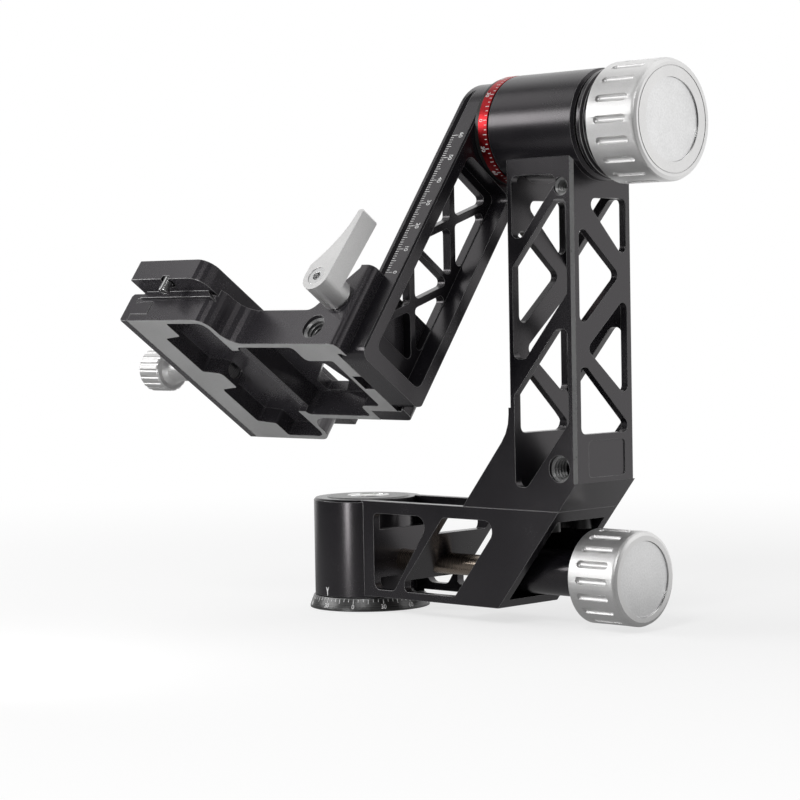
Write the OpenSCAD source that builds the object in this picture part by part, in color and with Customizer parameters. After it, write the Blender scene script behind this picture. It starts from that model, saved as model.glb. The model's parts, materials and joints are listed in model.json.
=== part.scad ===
// Gimbal head for long lenses: a panning base, a lower arm, an upright column,
// a swing arm on a tilt axle, and a lens platform that slides on the swing arm.
// Millimetres, +Z up, +X from the pan axis along the lower arm to the column.
// The origin is the centre of the underside of the base.

/* [Base and pan hub] */
// Diameter of the graduated ring at its foot
base_d = 46; // [44:0.5:60]
// Diameter of the graduated ring at its top
base_top_d = 43; // [42:0.5:44]
// Height of the graduated ring
base_h = 4.8; // [4:0.1:7]
// Inner diameter of the graduated ring
ring_bore_d = 36; // [30:0.5:38]
// Diameter of the pan spindle
spindle_d = 20; // [18:0.5:22]
// Diameter of the threaded top of the spindle
spindle_thread_d = 16; // [15:0.5:17]
// Outer diameter of the steel bush in the base
bush_d = 13; // [12:0.5:14]
// Length of the steel bush
bush_l = 14; // [8:0.5:20]
// Wall diameter of the tripod thread, 3/8 inch
tripod_thread_d = 9.525; // [8:0.005:9.6]
// Outer diameter of the pan hub
hub_d = 42; // [40:0.5:44]
// Height of the top of the pan hub and lower arm
hub_h = 42; // [41:0.5:48]
// Bore of the pan hub
hub_bore_d = 29; // [27:0.5:30]
// Width of a pan bearing along the spindle
pan_bearing_h = 6; // [4:0.5:7]
// Distance from the top of the hub down to the foot of the upper pan bearing
upper_bearing_z = 15.2; // [15:0.1:16]
// Diameter of the hub cap
cap_d = 32; // [31:0.5:34]
// Thickness of the hub cap
cap_t = 3.4; // [3:0.1:3.8]
// Height of the hub cap above the hub
cap_proud = 0.4; // [0:0.1:1]
// Diameter of the bubble level
level_d = 16; // [12:0.5:20]
// Depth of the bubble level in the cap
level_depth = 2.2; // [1.5:0.1:2.6]

/* [Lower arm] */
// Width of the lower arm and the column
limb_w = 32.5; // [31:0.5:35]
// Thickness of the side walls of the lower arm
limb_wall = 3.4; // [2.5:0.1:4.5]
// Height of the underside of the lower arm
arm_low = 6; // [5.6:0.1:8]
// Depth of the pocket in the top of the lower arm
top_pocket = 11; // [6:0.5:13]
// Depth of the pocket in the underside of the lower arm
low_pocket = 7; // [4:0.5:8]
// Thickness of the floor under the boss
floor_t = 3; // [2:0.1:4]
// Thickness of the deck under the column
deck_t = 4; // [3:0.1:5]
// Distance from the pan axis to the foot of the slanted end
end_low_x = 81; // [78:0.5:86]
// Lean of the slanted end from the upright
end_lean = 39; // [36:0.5:41]
// Height of the pan lock axis
lock_z = 18.6; // [18:0.1:20]
// Diameter of the lock rod
lock_rod_d = 8; // [6:0.5:9]
// Diameter of the boss that carries the pan knob
boss_d = 16.6; // [15:0.2:18]
// Distance from the pan axis to the foot of the slanted wall that carries the boss
boss_wall_x = 57.5; // [56:0.5:59]
// Thickness of the wall that carries the boss
boss_wall_t = 3.6; // [3:0.1:5]

/* [Column] */
// Distance from the pan axis to the inner face of the column
column_x = 87.4; // [86:0.2:90]
// Depth of the column along the lower arm
column_t = 31; // [30:0.5:33]
// Thickness of the column walls
column_wall = 2.9; // [2.5:0.1:3.4]
// Distance from the pan axis to the heel of the column's foot
knee_x = 64.5; // [63:0.5:68]
// Fillet where the heel meets the column
knee_r = 16; // [8:1:20]
// Thickness of the foot over the lower arm
foot_t = 7; // [6:0.5:8]
// Bevel on the long edges of the column
edge_cut = 1.1; // [0.5:0.1:1.6]
// Angle of the diagonal struts on the sides of the column
strut_angle = 49.5; // [48:0.5:52]
// Corner radius of the windows
window_r = 2.4; // [1:0.1:3]
// Depth of the bare label recess
label_depth = 0.4; // [0.2:0.1:0.8]

/* [Tilt hub] */
// Height of the tilt axis
tilt_z = 177.4; // [176:0.2:182]
// Diameter of the tilt hub
tilt_d = 39.4; // [38:0.2:41]
// Distance from the pan axis to the inner end of the tilt hub
tilt_hub_x = 82.6; // [82.4:0.1:84]
// Length of the tilt hub
tilt_hub_l = 39.2; // [38.5:0.1:42]
// Bore of the tilt hub
tilt_bore_d = 27; // [24:0.5:28]
// Diameter of the tilt axle
axle_d = 12; // [10:0.5:14]
// Width of a tilt bearing along the axle
tilt_bearing_w = 8; // [5:0.5:10]
// Depth of a tilt bearing inside the end of the hub
bearing_inset = 1.5; // [1.2:0.1:2]

/* [Knobs] */
// Diameter of the tilt knob
tilt_knob_d = 42.4; // [40:0.2:46]
// Length of the tilt knob
tilt_knob_l = 21.3; // [19:0.1:25]
// Distance from the end of the tilt hub to the tilt knob
tilt_knob_gap = 7; // [6:0.1:8]
// Diameter of the pan knob
pan_knob_d = 33.6; // [32:0.2:36]
// Length of the pan knob
pan_knob_l = 21.3; // [19:0.1:25]
// Distance from the pan axis to the pan knob
pan_knob_x = 114; // [113:0.5:118]
// Number of flutes around each knob
flute_count = 18; // [12:1:20]
// Width of a flute
flute_w = 2.9; // [2:0.1:3.2]
// Depth of a flute
flute_depth = 1; // [0.5:0.1:1.2]
// Length of a flute
flute_l = 14; // [10:0.5:15]
// Diameter of the disc in the face of the tilt knob
tilt_disc_d = 29; // [24:0.5:32]
// Diameter of the disc in the face of the pan knob
pan_disc_d = 26.8; // [20:0.2:27.4]
// Depth of the disc below the face of a knob
disc_recess = 0.5; // [0.2:0.1:1]
// Thickness of the disc in the face of a knob
disc_t = 1.5; // [1:0.1:2]

/* [Swing arm] */
// Tilt of the swing arm from the upright, as photographed
tilt_angle = 35.8; // [0:0.1:60]
// Distance from the pan axis to the rail face of the swing arm
swing_x = 64.9; // [64:0.1:65]
// Thickness of the swing arm
swing_t = 11.2; // [11:0.1:12]
// Width of the swing arm
swing_w = 35.5; // [34.5:0.1:36]
// Width over the edges of the dovetail rail
rail_w = 35.5; // [35:0.1:36.5]
// Thickness of the edge of the dovetail rail
rail_edge = 1.3; // [1.2:0.1:1.5]
// Height of the sloping flank of the rail
rail_flank = 1.2; // [1:0.1:1.4]
// Width of the groove beside the flank
rail_groove = 1.2; // [1.1:0.1:1.6]
// Length of the swing arm below the tilt axis
swing_l = 109.5; // [106:0.5:116]
// Width of the rim around the truss
swing_rim = 4.9; // [4:0.1:5]
// Depth of the truss below the rim
truss_depth = 7.6; // [6:0.1:8]
// Width of a truss strut
strut_w = 2.6; // [2:0.1:3.5]
// Height of one crossed cell of the truss
cell_h = 34.5; // [30:0.5:34.5]
// Distance from one truss cell to the next
cell_pitch = 36.4; // [36.4:0.1:38]
// Half width of a truss cell
cell_half_w = 12.5; // [10:0.1:12.7]
// Distance from the tilt axis to the top of the truss pocket
pocket_top = 20; // [19:0.1:21]
// Distance from the tilt axis to the top of the first truss cell
cell_top = 23; // [22.5:0.1:25]

/* [Platform] */
// Length of the quick-release clamp across the platform
clamp_l = 78; // [74:1:84]
// Distance from the pan axis to the outer face of the clamp body
clamp_x = 27; // [26:0.5:30]
// Distance from the pan axis to the step between clamp and neck
step_x = 14.7; // [14:0.1:16]
// Width of the neck of the platform
neck_w = 48; // [47:0.5:52]
// Height of the platform
platform_h = 14.5; // [14:0.1:16]
// Height of the seat of the lens plate above the underside
seat_h = 9.5; // [9.2:0.1:10]
// Height of the cheek on the rail
cheek_h = 33.5; // [32:0.5:36]
// Thickness of the skirt around the underside
skirt_t = 2.2; // [1.6:0.1:3]
// Thickness of the roof over the underside pockets
roof_t = 3.2; // [2.4:0.1:3.4]
// Diameter of the stud of the clamp lever
stud_d = 6; // [5:0.5:6]
// Distance from the rail face back to the stud axis
stud_back = 5.6; // [5:0.1:6.5]
// Height of the stud axis above the underside
stud_h = 19.5; // [19:0.5:22]
// Diameter of the hub of the clamp lever
lever_d = 11.4; // [11:0.2:13]
// Length of the hub of the clamp lever
lever_hub_l = 12; // [10:0.5:14]
// Reach of the clamp lever
lever_l = 28.6; // [24:0.2:36]
// Width of the tip of the clamp lever
lever_tip = 2.6; // [2:0.1:5]
// Depth of the handle of the lever along the stud
lever_t = 8; // [6:0.5:9]
// Lean of the lever from the swing arm
lever_lean = 4; // [0:0.5:20]
// Wall diameter of the accessory thread, 3/8 inch
large_thread_d = 9.525; // [8:0.005:9.6]
// Wall diameter of the small accessory thread, 1/4 inch
small_thread_d = 6.35; // [5:0.01:6.4]

/* [Quick-release clamp and plate] */
// Thickness of the moving jaw
jaw_t = 4.2; // [3.5:0.1:5]
// Diameter of the clamp screw
screw_d = 6; // [5:0.5:6]
// Height of the clamp screw above the underside
screw_h = 4.6; // [4.2:0.1:5]
// Diameter of the knurled knob
plate_knob_d = 16; // [14:0.5:18]
// Length of the knurled knob
plate_knob_l = 11; // [8:0.5:14]
// Length of the collar between jaw and knurled knob
collar_l = 10.2; // [8:0.2:14]
// Grooves around the knurled knob
knurl_count = 20; // [16:1:24]
// Width of the lens plate
plate_w = 38; // [37.6:0.1:38.2]
// Length of the lens plate
plate_l = 95; // [94:0.5:98]
// Thickness of the slab of the lens plate
slab_t = 8.3; // [7:0.1:10]
// Height of the dovetail foot of the lens plate
dove_h = 2.6; // [2.2:0.1:2.8]
// Distance that the front end of the plate stands out from the clamp
plate_overhang = 8.5; // [8:0.1:9]
// Diameter of the head of a stop screw
stop_d = 4; // [3:0.5:4.5]
// Distance of a stop screw from the end of the plate
stop_edge = 2.3; // [2.3:0.1:3.2]

/* [Hidden] */
$fn = 64;
// Clearances: parts that are fixed together, turning shafts, moving faces
fit = 0.03;
running = 0.05;
gap = 0.3;
black = "#26272b";
silver = "#c9cacb";
steel = "#9a9da1";
// Heights and distances that follow from the sizes above
half_w = limb_w / 2;
ring_rim = 0.8;
hub_bevel = 0.8;
cap_bevel = 0.4;
hub_low = base_h + gap;
bearing_lip = 1.1;
lower_bearing_z = hub_low + bearing_lip;
upper_bearing_foot = hub_h - upper_bearing_z;
bearing_top = upper_bearing_foot + pan_bearing_h;
washer_t = 1.2;
nut_h = 3.2;
nut_d = 24;
stack_gap = 0.1;
washer_z = bearing_top + stack_gap;
nut_z = washer_z + washer_t;
spindle_tail = 0.2;
spindle_h = nut_z + nut_h + spindle_tail;
cap_seat = hub_h + cap_proud - cap_t;
cap_top = hub_h + cap_proud;
level_rim = 1.2;
bezel_proud = 0.3;
vial_proud = 0.1;
end_slope = tan(end_lean);
column_x2 = column_x + column_t;
bend_z = arm_low + (column_x2 - end_low_x) / end_slope;
knee_z = hub_h + (column_x - knee_x) / end_slope;
hub_break = 0.4;
tilt_bevel = 1;
tilt_hub_x2 = tilt_hub_x + tilt_hub_l;
tilt_knob_x = tilt_hub_x2 + tilt_knob_gap;
boss_end = pan_knob_x - gap;
core_wall = 3.5;
core_d = hub_bore_d + 2 * core_wall;
// The lock rod ends against the stem of the pan knob inside the boss
stem_d = lock_rod_d;
stem_depth = 22.5;
stem_x = boss_wall_x + stem_depth;
boss_skin = 2.3;
knob_bush_d = boss_d - 2 * boss_skin;
knob_bush_l = 24;
knob_bush_inset = 0.5;
pad_t = 3;
knob_break = 0.5;
knob_round = 1.6;
face_line_d = tilt_knob_d - 5.1;
face_line_w = 0.4;
face_line_depth = 0.2;
pad_x = spindle_d / 2 + gap;
// Side windows of the lower arm
sill = 2.8;
lintel = 4.6;
window_low = arm_low + sill;
window_high = hub_h - lintel;
near_in = 2.4;
near_foot = 10.5;
near_head = 30;
arm_strut = 5.6;
near_x = hub_d / 2 - near_in;
near_low_x = near_x + near_foot;
near_x2 = near_x + near_head;
far_x = near_x2 + arm_strut;
far_x2 = boss_wall_x + (window_high - arm_low) * end_slope;
far_step = 4;
arm_lip = 2;
low_web = 1.5;
low_pocket_x = boss_wall_x + low_web;
// Inside of the column
inner_x = column_x + column_wall;
inner_x2 = column_x2 - column_wall;
inner_w = half_w - column_wall;
cavity_z = hub_h + foot_t;
hub_floor = 3;
cavity_top = tilt_z - tilt_bore_d / 2 - hub_floor;
strut_slope = tan(strut_angle);
// Windows of the column
window_sill = 1.2;
window_pitch = 45.4;
top_window_rise = 88.2;
window_lintel = 0.6;
window_z = [cavity_z + window_sill, cavity_z + window_sill + window_pitch];
window_rise = 56;
top_window_z = window_z[0] + top_window_rise;
window_ceiling = cavity_top - window_lintel;
window_foot = 5.5;
window_tip = 5;
top_window_foot = 4.5;
// Zigzag windows in the front and back: heights above the bend, from the lowest window up
zig_rim = 0.4;
zig_tip = 3.6;
zig_heel = 0.6;
zig_heights = [[17, 20.5, 40.5], [28.5, 47, 65.5], [53.5, 72.5, 91.5], [77, 99.6]];
zig = inner_w - zig_rim;
// Bare label recess over the bend
label_y = -9;
label_w = 19.8;
label_low = 1.8;
label_h = 12.8;
label_r = 1.6;
// Column screws
screw_m4 = 4;
head_m4 = 7;
head_h = 4;
foot_screw_x = [
    lean_back(far_x2, hub_h - deck_t) + boss_wall_t + head_m4 / 2 + gap,
    end_x(hub_h - deck_t - head_h) - head_m4 / 2 - gap
];
foot_screw_y = 8.5;
// Accessory holes in the front of the column
large_hole_x = column_x2 - 7.5;
large_hole_z = hub_h + 15.2;
small_hole_x = column_x2 - 5.2;
small_hole_z = tilt_z - 21.5;
hole_depth = 10;
// Swing arm frame: tilt axis at zero, rail towards -X
swing_x2 = swing_x + swing_t;
swing_low = -swing_l;
groove_half = rail_w / 2 - rail_flank;
groove_x = swing_x + rail_edge + rail_flank;
swing_corner_r = 4;
cell_r = 1.8;
pilot_d = 16;
spigot_d = 30;
flange_t = 1.9;
flange_d = tilt_d - 0.8;
red_x = swing_x2 + flange_t;
red_x2 = tilt_hub_x - gap;
thrust_t = 1.3;
axle_screw_r = pilot_d / 2 + head_m4 / 2 + gap;
axle_screw_d = 4;
axle_end = tilt_knob_x + 15;
insert_d = axle_d + 6;
pressure_d = 37;
washer_face_d = 32;
friction_t = 1.2;
// Stop screw at the foot of the rail
rail_stop_d = 2.6;
rail_stop_h = 2.4;
rail_stop_out = 2.2;
notch_w = 8;
notch_h = 4.4;
notch_depth = 4.4;
// Platform frame, in the swing arm frame
plat_z = swing_low;
plat_top = plat_z + platform_h;
seat_z = plat_z + seat_h;
cheek_top = plat_z + cheek_h;
face_x = swing_x - gap;
rail_gap = 0.25;
hook_x = groove_x + rail_groove - gap;
half_clamp = clamp_l / 2;
half_neck = neck_w / 2;
step_r = 6;
neck_r = 8;
hook_r = 3.4;
jaw_split_y = rail_w / 2 + gap;
jaw_split_x = face_x - 13;
stud_x = swing_x - stud_back;
stud_z = plat_z + stud_h;
large_hole2_x = face_x - 11.1;
large_hole2_z = plat_z + 7.5;
large_hole2_l = 9.5;
thread_block_l = 10.5;
thread_block_x = large_hole2_x - large_thread_d / 2 - 3.4;
cheek_wall = 6;
gusset_x = face_x - 16.3;
gusset_x2 = face_x - 0.9;
neck_pocket_h = 10.5;
neck_pocket_wall = 1.5;
neck_pocket_x = step_x + neck_pocket_wall;
// Window through the roof of the neck
roof_inset = 4.5;
roof_w = 16.5;
roof_long = 13;
roof_back = 10;
roof_short = 6.4;
roof_tip = 3;
roof_rim = 0.8;
roof_x = neck_pocket_x + roof_inset;
roof_x2 = roof_x + roof_w;
roof_y = half_neck - skirt_t - roof_rim;
rib_rise = 2.5;
lever_washer_t = 1.2;
lever_y = -half_neck - lever_washer_t - 0.1;
lever_screw_d = 7;
lever_steps = 10;
lever_screw_h = 3.5;
// Lens plate, in the platform frame
plate_x2 = step_x - 1.8;
plate_x = plate_x2 - plate_w;
plate_mid = plate_x + plate_w / 2;
dove_z = seat_z + 0.1;
slab_z = dove_z + dove_h;
plate_y = -half_clamp - plate_overhang;
plate_y2 = plate_y + plate_l;
dove_land = 0.4;
dove_setback = 7.6;
dove_run = dove_h - dove_land;
stop_h = dove_h + 1.6;
stop_places = [plate_y + stop_edge, plate_y2 - stop_edge];
stop_shank_d = 2.5;
stop_recess_d = stop_d + 1.8;
stop_sink = 1.4;
camera_head_d = 11;
camera_head_h = 4;
camera_thread_l = 4.6;
camera_pitch = 17;
slot_l = 36;
// Moving jaw of the clamp
jaw_gap = gap;
jaw_x = -clamp_x - jaw_gap;
jaw_x2 = jaw_x - jaw_t;
tongue_l = 8.8;
tongue_h = 5;
tongue_w = 8;
tongue_z = plat_z + 3;
screw_z = plat_z + screw_h;
screw_boss_w = 9;
screw_boss_x = -7.2;
guide_x = -7.5;
frame_x = -16.5;
collar_d = 8.4;
plate_knob_x = jaw_x2 - collar_l;

// Distance from the pan axis to the slanted end at a height
function end_x(z) = end_low_x + (z - arm_low) * end_slope;

function unit(v) = v / norm(v);

// Points of one rounded corner b between its neighbours a and c
function corner(a, b, c, r) =
    let (
        u = unit(a - b),
        v = unit(c - b),
        half = acos(max(-1, min(1, u * v))) / 2,
        reach = min(r / tan(half), 0.49 * norm(a - b), 0.49 * norm(c - b)),
        real_r = reach * tan(half),
        centre = b + unit(u + v) * real_r / sin(half),
        turn = cross(b - a, c - b) > 0 ? 1 : -1,
        first = b + u * reach - centre,
        start = atan2(first[1], first[0]),
        sweep = 180 - 2 * half,
        steps = max(2, ceil(sweep / 15))
    )
    r <= 0 ? [b] : [for (i = [0:steps]) centre
        + real_r * [cos(start + turn * sweep * i / steps), sin(start + turn * sweep * i / steps)]];

// A polygon with rounded corners: one radius for all, or one for each point
function rounded(points, radii) =
    let (n = len(points))
    [for (i = [0:n - 1]) each corner(points[(i + n - 1) % n], points[i], points[(i + 1) % n],
        is_list(radii) ? radii[i] : radii)];

// Extrusions along each axis, and turned pieces along X
module along_x(x0, x1) translate([x0, 0, 0]) rotate([90, 0, 90]) linear_extrude(x1 - x0) children();
module along_y(y0, y1) translate([0, y1, 0]) rotate([90, 0, 0]) linear_extrude(y1 - y0) children();
module along_z(z0, z1) translate([0, 0, z0]) linear_extrude(z1 - z0) children();
module rod_x(x0, x1, d) translate([x0, 0, 0]) rotate([0, 90, 0]) cylinder(h = x1 - x0, d = d);
module rod_y(y0, y1, d) translate([0, y0, 0]) rotate([-90, 0, 0]) cylinder(h = y1 - y0, d = d);
module rod_z(z0, z1, d) translate([0, 0, z0]) cylinder(h = z1 - z0, d = d);
module turned_x(x) translate([x, 0, 0]) rotate([0, 90, 0]) rotate_extrude() children();

module ring_x(x0, x1, d, bore) difference() {
    rod_x(x0, x1, d);
    rod_x(x0 - 1, x1 + 1, bore);
}
module ring_z(z0, z1, d, bore) difference() {
    rod_z(z0, z1, d);
    rod_z(z0 - 1, z1 + 1, bore);
}

// Places a piece in the frame of the swing arm, and on the tilt axis
module on_tilt_axis() translate([0, 0, tilt_z]) children();
module in_swing() translate([0, 0, tilt_z]) rotate([-tilt_angle, 0, 0]) children();

// Base

module base_body() color(black) difference() {
    union() {
        rod_z(0, base_h, ring_bore_d - 2 * fit);
        rod_z(0, bearing_top, spindle_d);
        rod_z(0, spindle_h, spindle_thread_d);
    }
    rod_z(-1, bush_l + gap, bush_d);
}

module pan_scale_ring() color(black) rotate_extrude() polygon([
    [ring_bore_d / 2, 0],
    [base_d / 2, 0],
    [base_d / 2, ring_rim],
    [base_top_d / 2, base_h],
    [ring_bore_d / 2, base_h]
]);

module tripod_bush() color(steel) ring_z(0, bush_l, bush_d - 2 * fit, tripod_thread_d);

module spindle_washer() color(steel)
    ring_z(washer_z, washer_z + washer_t, nut_d + 1, spindle_thread_d + 2 * running);

module spindle_nut() color(steel) difference() {
    translate([0, 0, nut_z]) cylinder(h = nut_h, d = nut_d, $fn = 6);
    rod_z(nut_z - 1, nut_z + nut_h + 1, spindle_thread_d + 2 * fit);
}

// Lower arm and what it holds

module arm_shell() difference() {
    union() {
        difference() {
            union() {
                rotate_extrude() polygon([
                    [0, hub_low],
                    [hub_d / 2, hub_low],
                    [hub_d / 2, hub_h - hub_bevel],
                    [hub_d / 2 - hub_bevel, hub_h],
                    [0, hub_h]
                ]);
                along_y(-half_w, half_w) polygon([
                    [0, arm_low],
                    [end_low_x, arm_low],
                    [end_x(hub_h), hub_h],
                    [0, hub_h]
                ]);
            }
            // Recess in the slanted end, around the boss
            along_y(-half_w + limb_wall, half_w - limb_wall) polygon([
                [lean_back(far_x2, arm_low + floor_t) + boss_wall_t, arm_low + floor_t],
                [column_x2, arm_low + floor_t],
                [column_x2, hub_h - deck_t],
                [lean_back(far_x2, hub_h - deck_t) + boss_wall_t, hub_h - deck_t]
            ]);
        }
        translate([0, 0, lock_z]) rod_x(boss_wall_x, boss_end, boss_d);
    }
    // Pockets in the top and in the underside, between the side walls
    difference() {
        union() {
            along_z(hub_h - top_pocket, hub_h + 1) polygon(arm_pocket(knee_x - arm_lip));
            along_z(arm_low - 1, arm_low + low_pocket) polygon(arm_pocket(low_pocket_x));
        }
        rod_z(0, hub_h + 2, core_d);
    }
    // Windows through the full width, with a slanted web between them
    along_y(-half_w - 1, half_w + 1) polygon(arm_window_near());
    along_y(-half_w - 1, half_w + 1) polygon(arm_window_far());
}

function arm_pocket(x) = rounded([
    [0, -half_w + limb_wall],
    [x, -half_w + limb_wall],
    [x, half_w - limb_wall],
    [0, half_w - limb_wall]
], [0, 2, 2, 0]);

// Side windows of the lower arm: one beside the hub, one between two slanted edges
function lean_back(x, z) = x - (window_high - z) * end_slope;
function arm_window_near() = rounded([
    [near_x, window_low],
    [near_low_x, window_low],
    [near_x2, window_high],
    [near_x, window_high]
], [3, 3, 4, 2]);
function arm_window_far() = rounded([
    [lean_back(far_x, window_low + far_step), window_low],
    [lean_back(far_x2, window_low), window_low],
    [far_x2, window_high],
    [far_x, window_high],
    [lean_back(far_x, window_low + far_step), window_low + far_step]
], [3, 2, 4, 2, 1]);

module lower_arm() color(black) difference() {
    arm_shell();
    rod_z(hub_low - 1, hub_h + 1, hub_bore_d);
    rod_z(cap_seat, hub_h + 1, cap_d);
    translate([0, 0, lock_z]) {
        rod_x(0, boss_end + 1, lock_rod_d + 2 * running);
        rod_x(boss_end - knob_bush_l, boss_end + 1, knob_bush_d);
    }
    for (x = foot_screw_x, y = [-foot_screw_y, foot_screw_y])
        translate([x, y, 0]) rod_z(hub_h - deck_t - 1, hub_h + 1, screw_m4 + 2 * gap);
}

module pan_bearings() color(steel)
    for (z = [lower_bearing_z, upper_bearing_foot])
        ring_z(z, z + pan_bearing_h, hub_bore_d - 2 * fit, spindle_d + 2 * running);

module hub_cap() color(black) difference() {
    rotate_extrude() polygon([
        [0, cap_seat],
        [cap_d / 2 - fit, cap_seat],
        [cap_d / 2 - fit, cap_top - cap_bevel],
        [cap_d / 2 - fit - cap_bevel, cap_top],
        [0, cap_top]
    ]);
    rod_z(cap_top - level_depth, cap_top + 1, level_d);
}

module level_bezel() color(silver)
    ring_z(cap_top - level_depth, cap_top + bezel_proud, level_d - 2 * fit, level_d - 2 * level_rim);

module level_vial() color("#d7e59a")
    rod_z(cap_top - level_depth, cap_top + vial_proud, level_d - 2 * level_rim - 2 * fit);

module knob_bush() color(steel) translate([0, 0, lock_z])
    ring_x(boss_end - knob_bush_l, boss_end - knob_bush_inset, knob_bush_d - 2 * fit, stem_d + 2 * running);

// Column

module column_outline() polygon(rounded([
    [knee_x, hub_h],
    [end_x(hub_h), hub_h],
    [column_x2, bend_z],
    [column_x2, tilt_z],
    [column_x, tilt_z],
    [column_x, knee_z]
], [0, 0, 0, 0, 0, knee_r]));

// Windows in the sides of the column, between diagonal struts
function side_window(z) = rounded([
    [inner_x, z],
    [inner_x + window_foot, z],
    [inner_x2, z + (inner_x2 - inner_x - window_foot) * strut_slope],
    [inner_x2, z + window_rise],
    [inner_x2 - window_tip, z + window_rise],
    [inner_x, z + window_rise - (inner_x2 - inner_x - window_tip) * strut_slope]
], window_r);
function top_window() = rounded([
    [inner_x, top_window_z],
    [inner_x + top_window_foot, top_window_z],
    [inner_x + top_window_foot + (window_ceiling - top_window_z) / strut_slope, window_ceiling],
    [inner_x, window_ceiling]
], window_r);

// Windows in the front and back of the column: a zigzag of triangles
function zigzag_windows() =
    let (
        h = [for (row = zig_heights) [for (z = row) bend_z + z]],
        first = h[0],
        second = h[1],
        third = h[2],
        last = h[3]
    ) [
        [[-zig, first[0]], [zig - zig_heel, first[0]], [zig - zig_heel, first[1]], [-zig + zig_tip, first[2]],
         [-zig, first[2]]],
        [[zig, second[0]], [zig, second[2]], [-zig + zig_tip, second[1]]],
        [[-zig, third[0]], [zig - zig_tip, third[1]], [-zig, third[2]]],
        [[zig, last[0]], [zig, last[1]], [-zig + zig_tip, last[1]]]
    ];

module column() color(black) difference() {
    union() {
        difference() {
            along_y(-half_w, half_w) column_outline();
            for (y = [-half_w, half_w]) {
                translate([column_x2, y, bend_z]) edge_bevel(tilt_z - bend_z);
                translate([column_x, y, knee_z + knee_r / 2]) edge_bevel(tilt_z - knee_z - knee_r / 2);
            }
            // Inside of the box
            along_z(cavity_z, cavity_top) polygon([
                [inner_x, -inner_w],
                [inner_x2, -inner_w],
                [inner_x2, inner_w],
                [inner_x, inner_w]
            ]);
        }
        on_tilt_axis() turned_x(tilt_hub_x) polygon([
            [0, 0],
            [tilt_d / 2 - hub_break, 0],
            [tilt_d / 2, hub_break],
            [tilt_d / 2, tilt_hub_l - tilt_bevel],
            [tilt_d / 2 - tilt_bevel, tilt_hub_l],
            [0, tilt_hub_l]
        ]);
        // Thick corners behind the accessory threads
        thread_block(large_hole_x, large_hole_z, large_thread_d + 5);
        thread_block(small_hole_x, small_hole_z, small_thread_d + 4.6);
    }
    along_y(-half_w - 1, half_w + 1) {
        for (z = window_z) polygon(side_window(z));
        polygon(top_window());
    }
    along_x(knee_x, column_x2 + 1)
        for (points = zigzag_windows()) polygon(rounded(points, window_r));
    on_tilt_axis() rod_x(tilt_hub_x - 1, tilt_hub_x2 + 1, tilt_bore_d);
    // Bare label recess over the bend
    along_x(column_x2 - label_depth, column_x2 + 1) polygon(rounded([
        [label_y, bend_z + label_low],
        [label_y + label_w, bend_z + label_low],
        [label_y + label_w, bend_z + label_low + label_h],
        [label_y, bend_z + label_low + label_h]
    ], label_r));
    translate([large_hole_x, 0, large_hole_z]) rod_y(-half_w - 1, -half_w + hole_depth, large_thread_d);
    translate([small_hole_x, 0, small_hole_z]) rod_y(-half_w - 1, -half_w + hole_depth, small_thread_d);
    for (x = foot_screw_x, y = [-foot_screw_y, foot_screw_y])
        translate([x, y, 0]) rod_z(hub_h - 1, hub_h + foot_t - 1, screw_m4);
}

// A prism that bevels one long edge
module edge_bevel(h) rotate([0, 0, 45]) translate([0, 0, h / 2])
    cube([edge_cut * sqrt(2), edge_cut * sqrt(2), h], center = true);

// Material behind a threaded hole in the front wall, held in the corner of the box
module thread_block(x, z, size) intersection() {
    translate([x - size / 2, -half_w + 0.2, z - size / 2]) cube([column_t, hole_depth + 2, size]);
    along_z(hub_h, tilt_z) polygon([
        [inner_x - 1, -half_w + 0.2],
        [inner_x2 + 1, -half_w + 0.2],
        [inner_x2 + 1, half_w],
        [inner_x - 1, half_w]
    ]);
}

module column_screws() color(steel)
    for (x = foot_screw_x, y = [-foot_screw_y, foot_screw_y]) translate([x, y, 0]) difference() {
        union() {
            rod_z(hub_h - deck_t - head_h, hub_h - deck_t, head_m4);
            rod_z(hub_h - deck_t, hub_h + foot_t - 1.5, screw_m4 - 2 * fit);
        }
        translate([0, 0, hub_h - deck_t - head_h - 1]) cylinder(h = 3, d = 3.4, $fn = 6);
    }

module tilt_bearings() color(steel) on_tilt_axis() {
    ring_x(tilt_hub_x + bearing_inset, tilt_hub_x + bearing_inset + tilt_bearing_w,
        tilt_bore_d - 2 * fit, axle_d + 2 * running);
    ring_x(tilt_hub_x2 - bearing_inset - tilt_bearing_w, tilt_hub_x2 - bearing_inset,
        tilt_bore_d - 2 * fit, axle_d + 2 * running);
}

module bearing_spacer() color(steel) on_tilt_axis()
    ring_x(tilt_hub_x + bearing_inset + tilt_bearing_w, tilt_hub_x2 - bearing_inset - tilt_bearing_w,
        axle_d + 5, axle_d + 2 * gap);

module thrust_washer() color("#e8e4d8") on_tilt_axis()
    ring_x(tilt_hub_x + bearing_inset - thrust_t, tilt_hub_x + bearing_inset,
        tilt_bore_d - 2 * fit, pilot_d + 2 * gap);

// Pan lock

module lock_rod() color("#8c7a62") translate([0, 0, lock_z]) rod_x(pad_x + pad_t, stem_x, lock_rod_d);

module brake_pad() color("#6b5136") difference() {
    translate([0, 0, lock_z]) rod_x(0, pad_x + pad_t, lock_rod_d);
    rod_z(0, hub_h, 2 * pad_x);
}

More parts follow.
